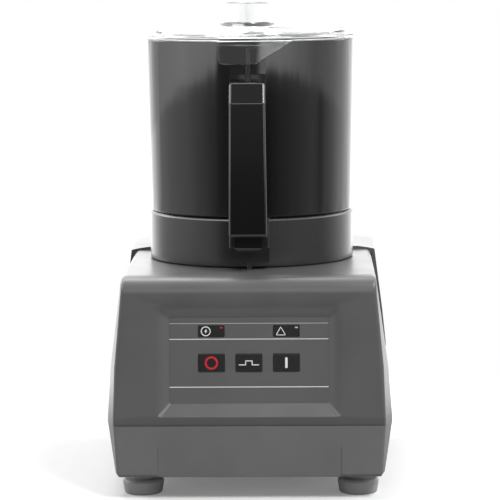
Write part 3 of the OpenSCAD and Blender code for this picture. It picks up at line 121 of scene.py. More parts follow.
@dataclass(frozen=True)
class Finish:
    """One real material with its surface, as a procedural shader."""

    name: str
    colour: str
    roughness: float
    texture: Texture = Texture.SPARKED
    grain: float = 0.0008
    relief: float = 0.00001
    mottle: float = 0.04
    ior: float = 1.5
    metallic: float = 0.0
    transmission: float = 0.0
    parting_line: bool = False

    def pattern(self, tree: bpy.types.NodeTree, coords: bpy.types.NodeSocket) -> bpy.types.NodeSocket:
        """Make the height pattern of the surface.

        Args:
            tree: Node tree of the material.
            coords: Object coordinates.

        Returns:
            A socket that runs from nought to one.
        """
        stretch = {Texture.BRUSHED: (0.02, 1.0, 1.0), Texture.TURNED: (0.04, 0.04, 1.0)}
        mapping = add_node(tree, "ShaderNodeMapping", inputs={
            "Vector": coords, "Scale": stretch.get(self.texture, (1.0, 1.0, 1.0))})
        if self.texture is Texture.WOUND:
            # the pitch of the wave is the thickness of the wire
            wave = add_node(tree, "ShaderNodeTexWave", {"wave_type": "RINGS", "rings_direction": "Z"}, {
                "Vector": mapping.outputs[0], "Scale": 0.05 / self.grain, "Distortion": 1.5,
                "Detail Scale": 0.3})
            return wave.outputs["Fac"]
        detail = {Texture.STIPPLED: 3.0, Texture.CAST: 5.0, Texture.POLISHED: 1.0}
        noise = add_node(tree, "ShaderNodeTexNoise", inputs={
            "Vector": mapping.outputs[0], "Scale": 1 / self.grain,
            "Detail": detail.get(self.texture, 2.0), "Roughness": 0.6})
        return noise.outputs["Fac"]

    def shade(self, tree: bpy.types.NodeTree, coords: bpy.types.NodeSocket) -> bpy.types.Node:
        """Build the shader of this finish.

        Args:
            tree: Node tree of the material.
            coords: Object coordinates.

        Returns:
            The shader node.
        """
        base = linear(self.colour)
        height = self.pattern(tree, coords)
        drift = add_node(tree, "ShaderNodeTexNoise", inputs={
            "Vector": coords, "Scale": 22.0, "Detail": 3.0, "Roughness": 0.55}).outputs["Fac"]
        cloud = add_node(tree, "ShaderNodeMath", {"operation": "MULTIPLY_ADD"},
                         {0: height, 1: 0.5, 2: drift}).outputs[0]
        low = tuple(share * (1 - self.mottle) for share in base[:3]) + (1.0,)
        high = tuple(min(1.0, share * (1 + self.mottle)) for share in base[:3]) + (1.0,)
        tint = add_node(tree, "ShaderNodeValToRGB", inputs={"Fac": cloud})
        for stop, position, colour in zip(tint.color_ramp.elements, (0.5, 1.0), (low, high)):
            stop.position = position
            stop.color = colour
        sheen = add_node(tree, "ShaderNodeMapRange", inputs={
            "Value": drift, "From Min": 0.3, "From Max": 0.7,
            "To Min": self.roughness * (1 - SHEEN_DRIFT),
            "To Max": min(1.0, self.roughness * (1 + SHEEN_DRIFT))})
        if self.parting_line:
            height = self.with_parting_line(tree, coords, height)
        bump = add_node(tree, "ShaderNodeBump", inputs={"Height": height, "Distance": self.relief})
        return add_node(tree, "ShaderNodeBsdfPrincipled", inputs={
            "Base Color": tint.outputs["Color"], "Roughness": sheen.outputs[0], "IOR": self.ior,
            "Metallic": self.metallic, "Transmission Weight": self.transmission,
            "Normal": bump.outputs[0]})

    def with_parting_line(self, tree: bpy.types.NodeTree, coords: bpy.types.NodeSocket,
                          height: bpy.types.NodeSocket) -> bpy.types.NodeSocket:
        """Add the fine ridge where the halves of the mould met, on the middle plane.

        Args:
            tree: Node tree of the material.
            coords: Object coordinates.
            height: Height pattern so far.

        Returns:
            The height with the ridge.
        """
        side = add_node(tree, "ShaderNodeSeparateXYZ", inputs={0: coords}).outputs["X"]
        away = add_node(tree, "ShaderNodeMath", {"operation": "ABSOLUTE"}, {0: side}).outputs[0]
        # drawn 1 mm wide, so that it shows from a step away
        ridge = add_node(tree, "ShaderNodeMapRange", inputs={
            "Value": away, "From Min": 0.0001, "From Max": 0.0005, "To Min": 0.5, "To Max": 0.0})
        return add_node(tree, "ShaderNodeMath", {"operation": "ADD"},
                        {0: height, 1: ridge.outputs[0]}).outputs[0]

    def material(self) -> bpy.types.Material:
        """Return the material, building it the first time.

        Returns:
            The material of this finish.
        """
        known = bpy.data.materials.get(self.name)
        if known is not None:
            return known
        made = bpy.data.materials.new(self.name)
        made.use_nodes = True
        tree = made.node_tree
        tree.nodes.clear()
        coords = add_node(tree, "ShaderNodeTexCoord").outputs["Object"]
        shader = self.shade(tree, coords)
        add_node(tree, "ShaderNodeOutputMaterial", inputs={"Surface": shader.outputs[0]})
        return made


# Powder coat on cast aluminium: dark grey with a fine flow-out stipple that
# breaks reflections up, but mirrors the scene at a shallow angle.
HOUSING_COAT = Finish("powder_coated_aluminium", "#595959", 0.33, Texture.STIPPLED, 0.0013, 0.000022, 0.07)
# The same coat on the tub, its colour painted lighter all over as painted light thrown up from the table.
TUB_COAT_PAINTED_LIGHTER = Finish("powder_coated_steel", "#666666", 0.45, Texture.STIPPLED, 0.0013, 0.00003, 0.07)
# Polished ABS: near black, mirror-like, with a faint waviness from moulding.
BOWL_ABS = Finish("polished_black_abs", "#0C0C0D", 0.045, Texture.POLISHED, 0.045, 0.00006, 0.05, ior=1.56)
# The same plastic on the handle, with the line where the mould closed.
HANDLE_ABS = Finish("polished_black_abs_handle", "#0F0F10", 0.1, Texture.POLISHED, 0.03, 0.00004, 0.05,
                    ior=1.56, parting_line=True)
# Glass-filled nylon: black, satin and evenly sparked, it greys in the light.
RING_NYLON = Finish("glass_filled_nylon", "#141415", 0.26, Texture.SPARKED, 0.0009, 0.000008, 0.06, ior=1.53)
# Acetal: dull black, smooth and slightly waxy.
BLACK_ACETAL = Finish("black_acetal", "#0E0E0F", 0.34, Texture.SPARKED, 0.0007, 0.000006, 0.05, ior=1.48)
# Polycarbonate: clear with a cool tint, polished, bright on its edges.
LID_POLYCARBONATE = Finish("clear_polycarbonate", "#FCFDFD", 0.02, Texture.POLISHED, 0.05, 0.00003, 0.01,
                           ior=1.585, transmission=1.0)
# Silicone: milky grey, soft and matt.
SEAL_SILICONE = Finish("grey_silicone", "#8E9396", 0.55, Texture.SPARKED, 0.001, 0.00001, 0.05, ior=1.41)
# Polyester film: printed grey from behind, with a fine satin texture on top.
PANEL_FILM = Finish("polyester_film", "#4B4B4B", 0.5, Texture.SPARKED, 0.0009, 0.000008, 0.05, ior=1.64)
# The film's black fields: deep and slightly glossy.
BLACK_FILM = Finish("black_polyester_film", "#0E0E0E", 0.24, Texture.SPARKED, 0.0009, 0.000006, 0.05,
                    ior=1.64)
# Screen-printing ink: flat and opaque, a touch uneven.
WHITE_INK = Finish("white_screen_ink", "#F1F1EE", 0.5, Texture.PRINTED, 0.0006, 0.000003, 0.03)
GREY_INK = Finish("grey_screen_ink", "#B9BBBC", 0.5, Texture.PRINTED, 0.0006, 0.000003, 0.04)
RED_INK = Finish("red_screen_ink", "#C61F2E", 0.45, Texture.PRINTED, 0.0006, 0.000003, 0.05)
# Nitrile rubber: charcoal and dull, but its colour is painted pale grey as painted light, so that the feet in
# the shade under the machine read lighter.
FOOT_RUBBER_PAINTED_LIGHT = Finish("nitrile_rubber", "#B0B0B0", 0.7, Texture.SPARKED, 0.0012, 0.00004, 0.12, ior=1.52)
# Zinc-plated steel: cool grey metal with a slightly uneven shine.
ZINC_STEEL = Finish("zinc_plated_steel", "#C3C6C9", 0.3, Texture.SPARKED, 0.001, 0.000004, 0.06, metallic=1.0)
# Ground steel: the grinding marks run round the axis.
TURNED_STEEL = Finish("ground_steel", "#B4B6B8", 0.22, Texture.TURNED, 0.0006, 0.000004, 0.04, metallic=1.0)
# Blade steel: stainless, ground bright along its length.
BLADE_STEEL = Finish("ground_stainless_steel", "#C9CBCC", 0.18, Texture.BRUSHED, 0.0005, 0.000003, 0.03,
                     metallic=1.0)
# Sand-cast aluminium: pale, grainy and dull.
CAST_ALUMINIUM = Finish("cast_aluminium", "#B5B7B9", 0.48, Texture.CAST, 0.0015, 0.00005, 0.08, metallic=1.0)
# Enamelled copper wire: warm brown rounds laid side by side.
COPPER_WIRE = Finish("enamelled_copper_wire", "#9A5428", 0.35, Texture.WOUND, 0.0012, 0.0003, 0.15)
# Solder mask over glass-epoxy: green with a soft shine.
SOLDER_MASK = Finish("solder_mask", "#1F5B33", 0.35, Texture.SPARKED, 0.0018, 0.00002, 0.2)
# Natural nylon: warm white, slightly waxy.
NATURAL_NYLON = Finish("natural_nylon", "#D9D5C9", 0.45, Texture.SPARKED, 0.0009, 0.00001, 0.04)


def select_only(piece: bpy.types.Object) -> None:
    """Select one piece, and nothing else.

    Args:
        piece: Piece to select.
    """
    for other in bpy.context.selected_objects:
        other.select_set(False)
    piece.select_set(True)
    bpy.context.view_layer.objects.active = piece


@contextmanager
def editing(piece: bpy.types.Object) -> Iterator[bmesh.types.BMesh]:
    """Hold a piece in edit mode with all of it selected.

    Args:
        piece: Piece to edit.

    Yields:
        The edit mesh, for selecting faces and edges by their place.
    """
    select_only(piece)
    bpy.ops.object.mode_set(mode="EDIT")
    bpy.ops.mesh.select_all(action="SELECT")
    try:
        yield bmesh.from_edit_mesh(piece.data)
    finally:
        bpy.ops.object.mode_set(mode="OBJECT")


def finish_edges(piece: bpy.types.Object, width: float, angle: float = 30.0) -> None:
    """Soften the sharp edges of a piece and smooth the rest.

    Args:
        piece: Piece to soften.
        width: Width of the softened edge.
        angle: Edges sharper than this, in degrees, are softened.
    """
    select_only(piece)
    soft = piece.modifiers.new("soft_edges", "BEVEL")
    soft.width = width
    soft.segments = EDGE_FACES
    soft.limit_method = "ANGLE"
    soft.angle_limit = math.radians(angle)
    soft.miter_outer = "MITER_ARC"
    bpy.ops.object.modifier_apply(modifier=soft.name)
    bpy.ops.object.shade_smooth_by_angle(angle=math.radians(angle))
    flat = piece.modifiers.new("even_normals", "WEIGHTED_NORMAL")
    flat.keep_sharp = True
    bpy.ops.object.modifier_apply(modifier=flat.name)


def paint(piece: bpy.types.Object, finish: Finish) -> None:
    """Give a piece one finish all over.

    Args:
        piece: Piece to paint.
        finish: Finish that it gets.
    """
    if not piece.material_slots:
        piece.data.materials.append(None)
    for place in piece.material_slots:
        place.link = "OBJECT"
        place.material = finish.material()


def paint_nodes(finish: Finish, *nodes: str) -> None:
    """Give CAD nodes whose shape is right a finish.

    Args:
        finish: Finish that they get.
        nodes: Names of the CAD nodes.
    """
    for node in nodes:
        paint(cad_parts[node], finish)
        LOG.info("dressed %s in %s", node, finish.name)


def fit(piece: bpy.types.Object, name: str, body: str, finish: Finish, slot: str,
        *nodes: str) -> bpy.types.Object:
    """Name a finished piece, dress it and hang it on its body.

    Args:
        piece: Piece with its place in its mesh.
        name: Name of the piece.
        body: CAD body that it moves with.
        finish: Finish of the piece.
        slot: Not used.
        nodes: CAD nodes that it stands for.

    Returns:
        The piece.
    """
    piece.name = name
    piece.data.name = name
    paint(piece, finish)
    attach(piece, body)
    if nodes:
        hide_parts(*nodes)
    LOG.info("made %s: %d faces on %s", name, len(piece.data.polygons), body)
    return piece


def settle(piece: bpy.types.Object, at: Matrix | None = None) -> None:
    """Move a piece's place into its mesh and turn its faces outwards.

    Args:
        piece: Piece to settle.
        at: Where the piece goes, over its own place.
    """
    if at is not None:
        piece.matrix_world = at @ piece.matrix_world
    select_only(piece)
    bpy.ops.object.transform_apply(location=True, rotation=True, scale=True)
    with editing(piece):
        bpy.ops.mesh.remove_doubles(threshold=1e-6)
        bpy.ops.mesh.normals_make_consistent(inside=False)


def select_box(mesh: bmesh.types.BMesh, low: Point, high: Point) -> None:
    """Select the corners of a piece in edit mode that lie in a box.

    Args:
        mesh: Edit mesh of the piece.
        low: Lowest corner of the box.
        high: Highest corner of the box.
    """
    bpy.ops.mesh.select_mode(type="VERT")
    for corner in mesh.verts:
        corner.select = all(a <= c <= b for a, c, b in zip(low, corner.co, high))
    mesh.select_flush_mode()


def shift(piece: bpy.types.Object, low: Point, high: Point, by: Point) -> None:
    """Move the corners of a piece that lie in a box.

    Args:
        piece: Piece with its place in its mesh.
        low: Lowest corner of the box.
        high: Highest corner of the box.
        by: How far they move.
    """
    with editing(piece) as mesh:
        select_box(mesh, low, high)
        bpy.ops.transform.translate(value=by)


def stretch(piece: bpy.types.Object, low: Point, high: Point, by: Point, about: Point) -> None:
    """Scale the corners of a piece that lie in a box.

    Args:
        piece: Piece with its place in its mesh.
        low: Lowest corner of the box.
        high: Highest corner of the box.
        by: Scale along each axis.
        about: Point that stays.
    """
    with editing(piece) as mesh:
        select_box(mesh, low, high)
        bpy.ops.transform.resize(value=by, center_override=about)


def copied(node: str) -> bpy.types.Object:
    """Copy a CAD node with merged corners and whole faces.

    Args:
        node: CAD node to copy.

    Returns:
        The copy, at the same place.
    """
    piece = bpy.data.objects.new(node + "_copy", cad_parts[node].data.copy())
    bpy.context.scene.collection.objects.link(piece)
    select_only(piece)
    bpy.ops.mesh.customdata_custom_splitnormals_clear()
    with editing(piece):
        bpy.ops.mesh.remove_doubles(threshold=2e-6)
        bpy.ops.mesh.dissolve_limited(angle_limit=math.radians(0.6))
    return piece


def dress(node: str, name: str, body: str, finish: Finish, slot: str, width: float,
          angle: float = 30.0) -> None:
    """Stand a copy of a CAD node with softened edges in for it.

    Args:
        node: CAD node to copy.
        name: Name of the copy.
        body: CAD body that it moves with.
        finish: Finish of the copy.
        slot: Passed on to fit, which does not use it.
        width: Width of the softened edges.
        angle: Edges sharper than this, in degrees, are softened.
    """
    piece = copied(node)
    finish_edges(piece, width, angle)
    fit(piece, name, body, finish, slot, node)


def plate(width: float, height: float, thickness: float, corner: float) -> bpy.types.Object:
    """Model a thin plate with rounded corners, lying on the XY plane.

    Args:
        width: Size along X.
        height: Size along Y.
        thickness: Size along Z.
        corner: Radius of the corners.

    Returns:
        The plate, with its lower face at nought.
    """
    bpy.ops.object.select_all(action="DESELECT")
    bpy.ops.mesh.primitive_plane_add(size=1.0)
    piece = bpy.context.active_object
    with editing(piece):
        bpy.ops.transform.resize(value=(width, height, 1.0))
        bpy.ops.mesh.bevel(offset=corner, segments=5, affect="VERTICES")
        bpy.ops.mesh.extrude_region_move(TRANSFORM_OT_translate={"value": (0.0, 0.0, thickness)})
    return piece


def washer(outer: float, inner: float, thickness: float, sides: int = 72) -> bpy.types.Object:
    """Model a thin flat ring, lying on the XY plane.

    Args:
        outer: Outer radius.
        inner: Inner radius.
        thickness: Size along Z.
        sides: Straight sides of the ring.

    Returns:
        The ring, with its lower face at nought.
    """
    bpy.ops.object.select_all(action="DESELECT")
    bpy.ops.mesh.primitive_circle_add(vertices=sides, radius=outer, fill_type="NGON")
    piece = bpy.context.active_object
    with editing(piece):
        bpy.ops.mesh.inset(thickness=outer - inner)
        bpy.ops.mesh.delete(type="FACE")
        bpy.ops.mesh.select_all(action="SELECT")
        bpy.ops.mesh.extrude_region_move(TRANSFORM_OT_translate={"value": (0.0, 0.0, thickness)})
    return piece


def traced(points: list[tuple[float, float]], thickness: float) -> bpy.types.Object:
    """Model a thin plate by drawing its outline corner by corner.

    Args:
        points: Corners of the outline.
        thickness: Size along Z.

    Returns:
        The plate, with its lower face at nought.
    """
    bpy.ops.object.select_all(action="DESELECT")
    bpy.ops.mesh.primitive_plane_add(size=1.0, location=(points[0][0], points[0][1], 0.0))
    piece = bpy.context.active_object
    with editing(piece):
        bpy.ops.mesh.merge(type="CENTER")
        for before, after in zip(points, points[1:]):
            step = (after[0] - before[0], after[1] - before[1], 0.0)
            bpy.ops.mesh.extrude_region_move(TRANSFORM_OT_translate={"value": step})
        bpy.ops.mesh.select_all(action="SELECT")
        bpy.ops.mesh.edge_face_add()
        bpy.ops.mesh.extrude_region_move(TRANSFORM_OT_translate={"value": (0.0, 0.0, thickness)})
    return piece


def joined(pieces: list[bpy.types.Object]) -> bpy.types.Object:
    """Join pieces into the first of them.

    Args:
        pieces: Pieces to join.

    Returns:
        The first piece, with the rest in it.
    """
    select_only(pieces[0])
    for piece in pieces:
        piece.select_set(True)
    bpy.ops.object.join()
    return pieces[0]


@dataclass
class Housing:
    """The painted shell, its tub, the covers and the feet."""

    shell_edge: float = 0.0007
    tub_edge: float = 0.0004
    tub_angle: float = 15.0
    # the seam of the CAD model, how far it comes down, and how far over and
    # under it a corner still belongs to it
    seam: float = 0.07
    seam_drop: float = 0.003
    over_seam: float = 0.0015
    under_seam: float = 0.001
    lip_back: float = -0.1
    # the pads reach in to this distance from the middle, grow inwards, and
    # step forwards at their top from the wall that they stand on
    pad_edge: float = 0.0925
    pad_growth: float = 0.012
    pad_step: float = 0.00177
    pad_top: float = 0.0465
    pad_front: float = -0.153
    wall: float = 0.15
    # where the wall between the rear pads ends, and its way to the ledge
    rear_wall_top: float = 0.0377
    rear_way: Point = (0.0, 0.00027, 0.00883)
    # how far a corner may be from the place it is picked by
    near: float = 0.0003
    close: float = 0.0001
    merge: float = 0.00005
    # groove along each pad: its size, foot and plane, and its run at the top
    groove: Point = (0.0009, 0.004, 0.027)
    groove_low: float = 0.021
    groove_plane: float = -0.1521
    groove_run: float = -0.0012
    foot_place: tuple[float, float] = (0.096, 0.111)
    foot_room: float = 0.03
    foot_growth: float = 37 / 35
    foot_edge: float = 0.0006

    def build(self) -> None:
        """Soften and dress the shells, and dress the rest."""
        fit(self.shell(), "housing_shell", "base", HOUSING_COAT, "housing_paint", "upper_housing")
        fit(self.tub(), "housing_tub", "base", TUB_COAT_PAINTED_LIGHTER, "housing_paint", "lower_tub")
        dress("rear_cover", "rear_vent_cover", "base", HOUSING_COAT, "housing_paint", 0.0003)
        fit(self.feet(), "rubber_feet", "base", FOOT_RUBBER_PAINTED_LIGHT, "foot_rubber", "feet")
        dress("cord_gland", "strain_relief", "base", BLACK_ACETAL, "black_satin", 0.0004)
        paint_nodes(ZINC_STEEL, "bottom_plate", "foot_screws", "plate_screws", "housing_screws",
                    "cover_screws")

    def shell(self) -> bpy.types.Object:
        """Copy the upper housing with its foot brought down to the seam.

        Returns:
            The shell.
        """
        piece = copied("upper_housing")
        seam = self.seam - self.seam_drop
        shift(piece, (-FAR, -FAR, 0.0), (FAR, FAR, self.seam + self.over_seam),
              (0.0, 0.0, -self.seam_drop))
        # the lip under the curl comes down to the tub, all round
        stretch(piece, (-FAR, -FAR, 0.0), (FAR, self.lip_back, seam + self.over_seam),
                (1.0, 1.0, 0.0), (0.0, 0.0, seam))
        finish_edges(piece, self.shell_edge)
        return piece

    def tub(self) -> bpy.types.Object:
        """Copy the tub with its rim at the seam and pads that run out.

        Returns:
            The tub.
        """
        piece = copied("lower_tub")
        shift(piece, (-FAR, -FAR, self.seam - self.under_seam), (FAR, FAR, FAR),
              (0.0, 0.0, -self.seam_drop))
        reach, top = self.pad_edge + self.near, self.pad_top + self.near
        shift(piece, (-reach, -self.wall - self.close, self.pad_top - self.near),
              (reach, -self.wall + self.close, top), (0.0, -self.pad_step, 0.0))
        for side in (-1, 1):
            low, high = sorted((side * (self.pad_edge - self.near), side * reach))
            shift(piece, (low, self.pad_front, 0.0), (high, -self.wall + self.close, top),
                  (-side * self.pad_growth, 0.0, 0.0))
        # at the back the wall between the pads goes up to the ledge, whole
        shift(piece, (-reach, self.wall - self.close, self.rear_wall_top - self.close),
              (reach, self.wall + self.close, self.rear_wall_top + self.close), self.rear_way)
        with editing(piece):
            bpy.ops.mesh.remove_doubles(threshold=self.merge)
        self.score(piece)
        finish_edges(piece, self.tub_edge, self.tub_angle)
        return piece

    def score(self, piece: bpy.types.Object) -> None:
        """Cut the fine groove along each pad, running out upwards.

        Args:
            piece: Copy of the tub.
        """
        middle = self.groove_low + self.groove[2] / 2
        for side in (-1, 1):
            bpy.ops.object.select_all(action="DESELECT")
            bpy.ops.mesh.primitive_cube_add(size=1.0, location=(
                side * (self.pad_edge - self.pad_growth), self.groove_plane, middle))
            cutter = bpy.context.active_object
            cutter.scale = self.groove
            bpy.ops.object.transform_apply(location=True, rotation=True, scale=True)
            shift(cutter, (-FAR, -FAR, middle), (FAR, FAR, FAR), (0.0, self.groove_run, 0.0))
            select_only(piece)
            cut = piece.modifiers.new("pad_groove", "BOOLEAN")
            cut.operation = "DIFFERENCE"
            cut.solver = "EXACT"
            cut.object = cutter
            bpy.ops.object.modifier_apply(modifier=cut.name)
            bpy.data.objects.remove(cutter)

    def feet(self) -> bpy.types.Object:
        """Copy the feet, each a little wider.

        Returns:
            The four feet.
        """
        piece = copied("feet")
        room, growth = self.foot_room, self.foot_growth
        for x in (-self.foot_place[0], self.foot_place[0]):
            for y in (-self.foot_place[1], self.foot_place[1]):
                stretch(piece, (x - room, y - room, -FAR), (x + room, y + room, FAR),
                        (growth, growth, 1.0), (x, y, 0.0))
        finish_edges(piece, self.foot_edge)
        return piece


@dataclass
class ControlPanel:
    """The film, windows and buttons in the recess, with their print."""

    tilt: float = math.radians(3.492)
    pitch: float = 0.0328
    row_drop: float = -0.0021
    window_rise: float = 0.0257
    proud: float = 0.001
    window_proud: float = 0.00033
    ink: float = 0.00005
    # share of a printed line's thickness that its corners are rounded by
    ink_corner: float = 0.2
    # height and thickness of each line across the film, and their room to its edges
    bands: tuple[tuple[float, float], ...] = ((0.0325, 0.0005), (0.0187, 0.0006), (-0.0234, 0.0007))
    band_room: float = 0.0003
    # left of the middle of a window, and the place and size of its lamp mark
    sign_left: float = 0.0048
    lamp_place: tuple[float, float] = (0.0089, 0.0031)
    lamp_size: tuple[float, float] = (0.0027, 0.0013)
    lamp_corner: float = 0.0005
    # outer and inner radius of the printed rings
    power_ring: tuple[float, float] = (0.0043, 0.0035)
    stop_ring: tuple[float, float] = (0.0059, 0.0041)
    start_bar: tuple[float, float] = (0.0021, 0.0096)
    start_corner: float = 0.001
    # half the width, half the height and the thickness of the pulse
    pulse: Point = (0.0085, 0.00175, 0.0008)
    triangle_radius: float = 0.0053
    triangle_drop: float = 0.0011
    triangle_corner: float = 0.0011
    triangle_line: float = 0.0006
    buttons: tuple[str, ...] = ("stop", "pulse", "start")
    face: Matrix = field(init=False)

    def __post_init__(self) -> None:
        """Find the plane of the film from the CAD node."""
        lean = Matrix.Rotation(math.pi / 2 - self.tilt, 4, "X")
        upright = lean.inverted()
        low, high = (Vector(corner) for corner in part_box("panel_overlay"))
        middle = upright @ Vector((0.0, (low.y + high.y) / 2, (low.z + high.z) / 2))
        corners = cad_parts["panel_overlay"].data.vertices
        top = max((upright @ corner.co).z for corner in corners)
        LOG.info("film plane at %.5f", top)
        self.face = lean @ Matrix.Translation((0.0, middle.y, top))

    def at(self, across: float, up: float, out: float) -> Matrix:
        """Give the place on the film at a distance across, up and out of it."""
        return self.face @ Matrix.Translation((across, up, out))

    def print_on(self, piece: bpy.types.Object, place: Matrix, name: str, body: str,
                 finish: Finish) -> None:
        """Lay a printed mark on the panel and hang it on its body."""
        settle(piece, place)
        fit(piece, name, body, finish, "panel_film" if body == "base" else "button_black")

    def build(self) -> None:
        """Dress the film, windows and buttons, and print their marks."""
        dress("panel_overlay", "panel_film", "base", PANEL_FILM, "panel_film", 0.00015)
        for node in ("power_indicator", "fault_indicator"):
            dress(node, node + "_window", "base", BLACK_FILM, "button_black", 0.00012)
        for name in self.buttons:
            dress("button_" + name, name + "_button_cap", name + "_button", BLACK_FILM, "button_black",
                  0.00035)
        self.print_bands()
        self.print_indicators()
        self.print_buttons()

    def print_bands(self) -> None:
        """Print the three white lines across the film."""
        low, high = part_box("panel_overlay")
        width = high[0] - low[0] - 2 * self.band_room
        for number, (up, thick) in enumerate(self.bands):
            self.print_on(plate(width, thick, self.ink, thick * self.ink_corner), self.at(0.0, up, 0.0),
                          f"panel_line_{number + 1}", "base", GREY_INK if number == 0 else WHITE_INK)

    def print_indicators(self) -> None:
        """Print the signs and lamp marks of the two windows."""
        out = self.window_proud
        left = self.at(-self.pitch - self.sign_left, self.window_rise, out)
        right = self.at(self.pitch - self.sign_left, self.window_rise, out)
        self.print_on(washer(*self.power_ring, self.ink), left, "power_sign_ring", "base", WHITE_INK)
        flash = [(0.0008, 0.0024), (-0.0014, -0.0003), (-0.0002, -0.0003), (-0.0008, -0.0025),
                 (0.0014, 0.0005), (0.0002, 0.0005)]
        self.print_on(traced(flash, self.ink), left, "power_sign_flash", "base", WHITE_INK)
        self.print_on(self.triangle(), right, "fault_sign", "base", WHITE_INK)
        for name, side, ink in (("power", -1, RED_INK), ("fault", 1, GREY_INK)):
            across, up = side * self.pitch + self.lamp_place[0], self.window_rise + self.lamp_place[1]
            self.print_on(plate(*self.lamp_size, self.ink, self.lamp_corner), self.at(across, up, out),
                          name + "_lamp_mark", "base", ink)

    def triangle(self) -> bpy.types.Object:
        """Model a triangle outline with rounded corners.

        Returns:
            The outline, with its lower face at nought.
        """
        bpy.ops.object.select_all(action="DESELECT")
        bpy.ops.mesh.primitive_circle_add(vertices=3, radius=self.triangle_radius, fill_type="NGON")
        piece = bpy.context.active_object
        with editing(piece):
            bpy.ops.transform.translate(value=(0.0, -self.triangle_drop, 0.0))
            bpy.ops.mesh.bevel(offset=self.triangle_corner, segments=4, affect="VERTICES")
            bpy.ops.mesh.inset(thickness=self.triangle_line)
            bpy.ops.mesh.delete(type="FACE")
            bpy.ops.mesh.select_all(action="SELECT")
            bpy.ops.mesh.extrude_region_move(TRANSFORM_OT_translate={"value": (0.0, 0.0, self.ink)})
        return piece

    def print_buttons(self) -> None:
        """Print the ring, the pulse and the bar on the three buttons."""
        out = self.proud
        self.print_on(washer(*self.stop_ring, self.ink), self.at(-self.pitch, self.row_drop, out),
                      "stop_sign", "stop_button", RED_INK)
        self.print_on(plate(*self.start_bar, self.ink, self.start_corner),
                      self.at(self.pitch, self.row_drop, out), "start_sign", "start_button", WHITE_INK)
        half, rise, thick = self.pulse
        steps = [(-half, -rise), (-half / 3, -rise), (-half / 3, rise), (half / 3, rise),
                 (half / 3, -rise), (half, -rise)]
        strokes = []
        for start, end in zip(steps, steps[1:]):
            wide = abs(end[0] - start[0]) + thick
            tall = abs(end[1] - start[1]) + thick
            stroke = plate(wide, tall, self.ink, thick * self.ink_corner)
            stroke.location = ((start[0] + end[0]) / 2, (start[1] + end[1]) / 2, 0.0)
            strokes.append(stroke)
        self.print_on(joined(strokes), self.at(0.0, self.row_drop, out), "pulse_sign", "pulse_button",
                      WHITE_INK)


@dataclass
class Drive:
    """The motor and the electrical parts inside, and the pedestal."""

    def build(self) -> None:
        """Dress the drive."""
        paint_nodes(CAST_ALUMINIUM, "upper_end_shield", "lower_end_shield", "motor_rotor",
                    "drive_pedestal")
        paint_nodes(TURNED_STEEL, "stator_core", "upper_bearing", "lower_bearing", "drive_shaft")
        paint_nodes(COPPER_WIRE, "stator_windings")
        paint_nodes(ZINC_STEEL, "motor_bolts", "pedestal_screws", "board_screws", "capacitor_clip")
        paint_nodes(BLACK_ACETAL, "cooling_fan", "start_capacitor", "safety_switch", "switch_plunger")
        paint_nodes(FOOT_RUBBER_PAINTED_LIGHT, "shaft_seal")
        paint_nodes(NATURAL_NYLON, "terminal_block")
        paint_nodes(SOLDER_MASK, "control_board")


@dataclass
class Bowl:
    """The bowl with its ring, handle and safety rod."""

    # corners of the grip's long edges lie beyond these
    grip_side: float = 0.0155
    grip_front: float = -0.1354
    grip_low: float = 0.231
    # a long edge is longer than it is high by less than this
    grip_slant: float = 0.02
    grip_edge: float = 0.0022
    arm_foot: float = 0.2185
    guide_cover: float = 0.0026
    guide_inset: float = 0.0002

    def build(self) -> None:
        """Soften and dress the bowl and its handle."""
        dress("bowl_shell", "bowl_body", "bowl", BOWL_ABS, "black_gloss", 0.0004, 25.0)
        dress("bowl_base_ring", "bowl_ring", "bowl", RING_NYLON, "black_satin", 0.0004, 25.0)
        fit(self.grip(), "bowl_grip", "bowl", HANDLE_ABS, "black_gloss", "bowl_handle")
        dress("rod_guide_panel", "rod_guide", "bowl", BLACK_ACETAL, "black_satin", 0.0005)
        self.face_guide()
        paint_nodes(BLACK_ACETAL, "interlock_rod")
        paint_nodes(ZINC_STEEL, "ring_screws", "panel_fixing_screws", "rod_spring")

    def face_guide(self) -> None:
        """Close the guide in front of the rod, below the arm of the handle."""
        low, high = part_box("rod_guide_panel")
        width, height = high.x - low.x, self.arm_foot - low.z
        face = plate(width, height, self.guide_cover, 0.001)
        upright = Matrix.Rotation(math.pi / 2, 4, "X")
        place = ((low.x + high.x) / 2, low.y + self.guide_inset, low.z + height / 2)
        settle(face, Matrix.Translation(place) @ upright)
        finish_edges(face, 0.0003)
        fit(face, "rod_guide_face", "bowl", BLACK_FILM, "black_satin")

    def is_long_edge(self, edge: bmesh.types.BMEdge) -> bool:
        """Tell whether an edge is one of the long ones at the front of the grip.

        Args:
            edge: Edge of the handle.

        Returns:
            True for a long edge of the grip.
        """
        start, end = (corner.co for corner in edge.verts)
        on_grip = all(abs(place.x) > self.grip_side and place.y < self.grip_front
                      and place.z > self.grip_low for place in (start, end))
        return on_grip and edge.calc_length() < self.grip_slant + abs(start.z - end.z)

    def grip(self) -> bpy.types.Object:
        """Copy the handle with well rounded long edges.

        Returns:
            The handle.
        """
        piece = copied("bowl_handle")
        with editing(piece) as mesh:
            bpy.ops.mesh.select_mode(type="EDGE")
            for edge in mesh.edges:
                edge.select = self.is_long_edge(edge)
            mesh.select_flush_mode()
            bpy.ops.mesh.bevel(offset=self.grip_edge, segments=4, affect="EDGES")
        finish_edges(piece, 0.0004, 24.0)
        return piece


@dataclass
class Knife:
    """The hub with its two sickle blades."""

    def build(self) -> None:
        """Dress the knife."""
        dress("knife_hub", "knife_hub_body", "knife", BLACK_ACETAL, "black_satin", 0.0004, 25.0)
        paint_nodes(BLACK_ACETAL, "blade_spacer", "blade_clamp_nut")
        paint_nodes(BLADE_STEEL, "lower_blade", "upper_blade")


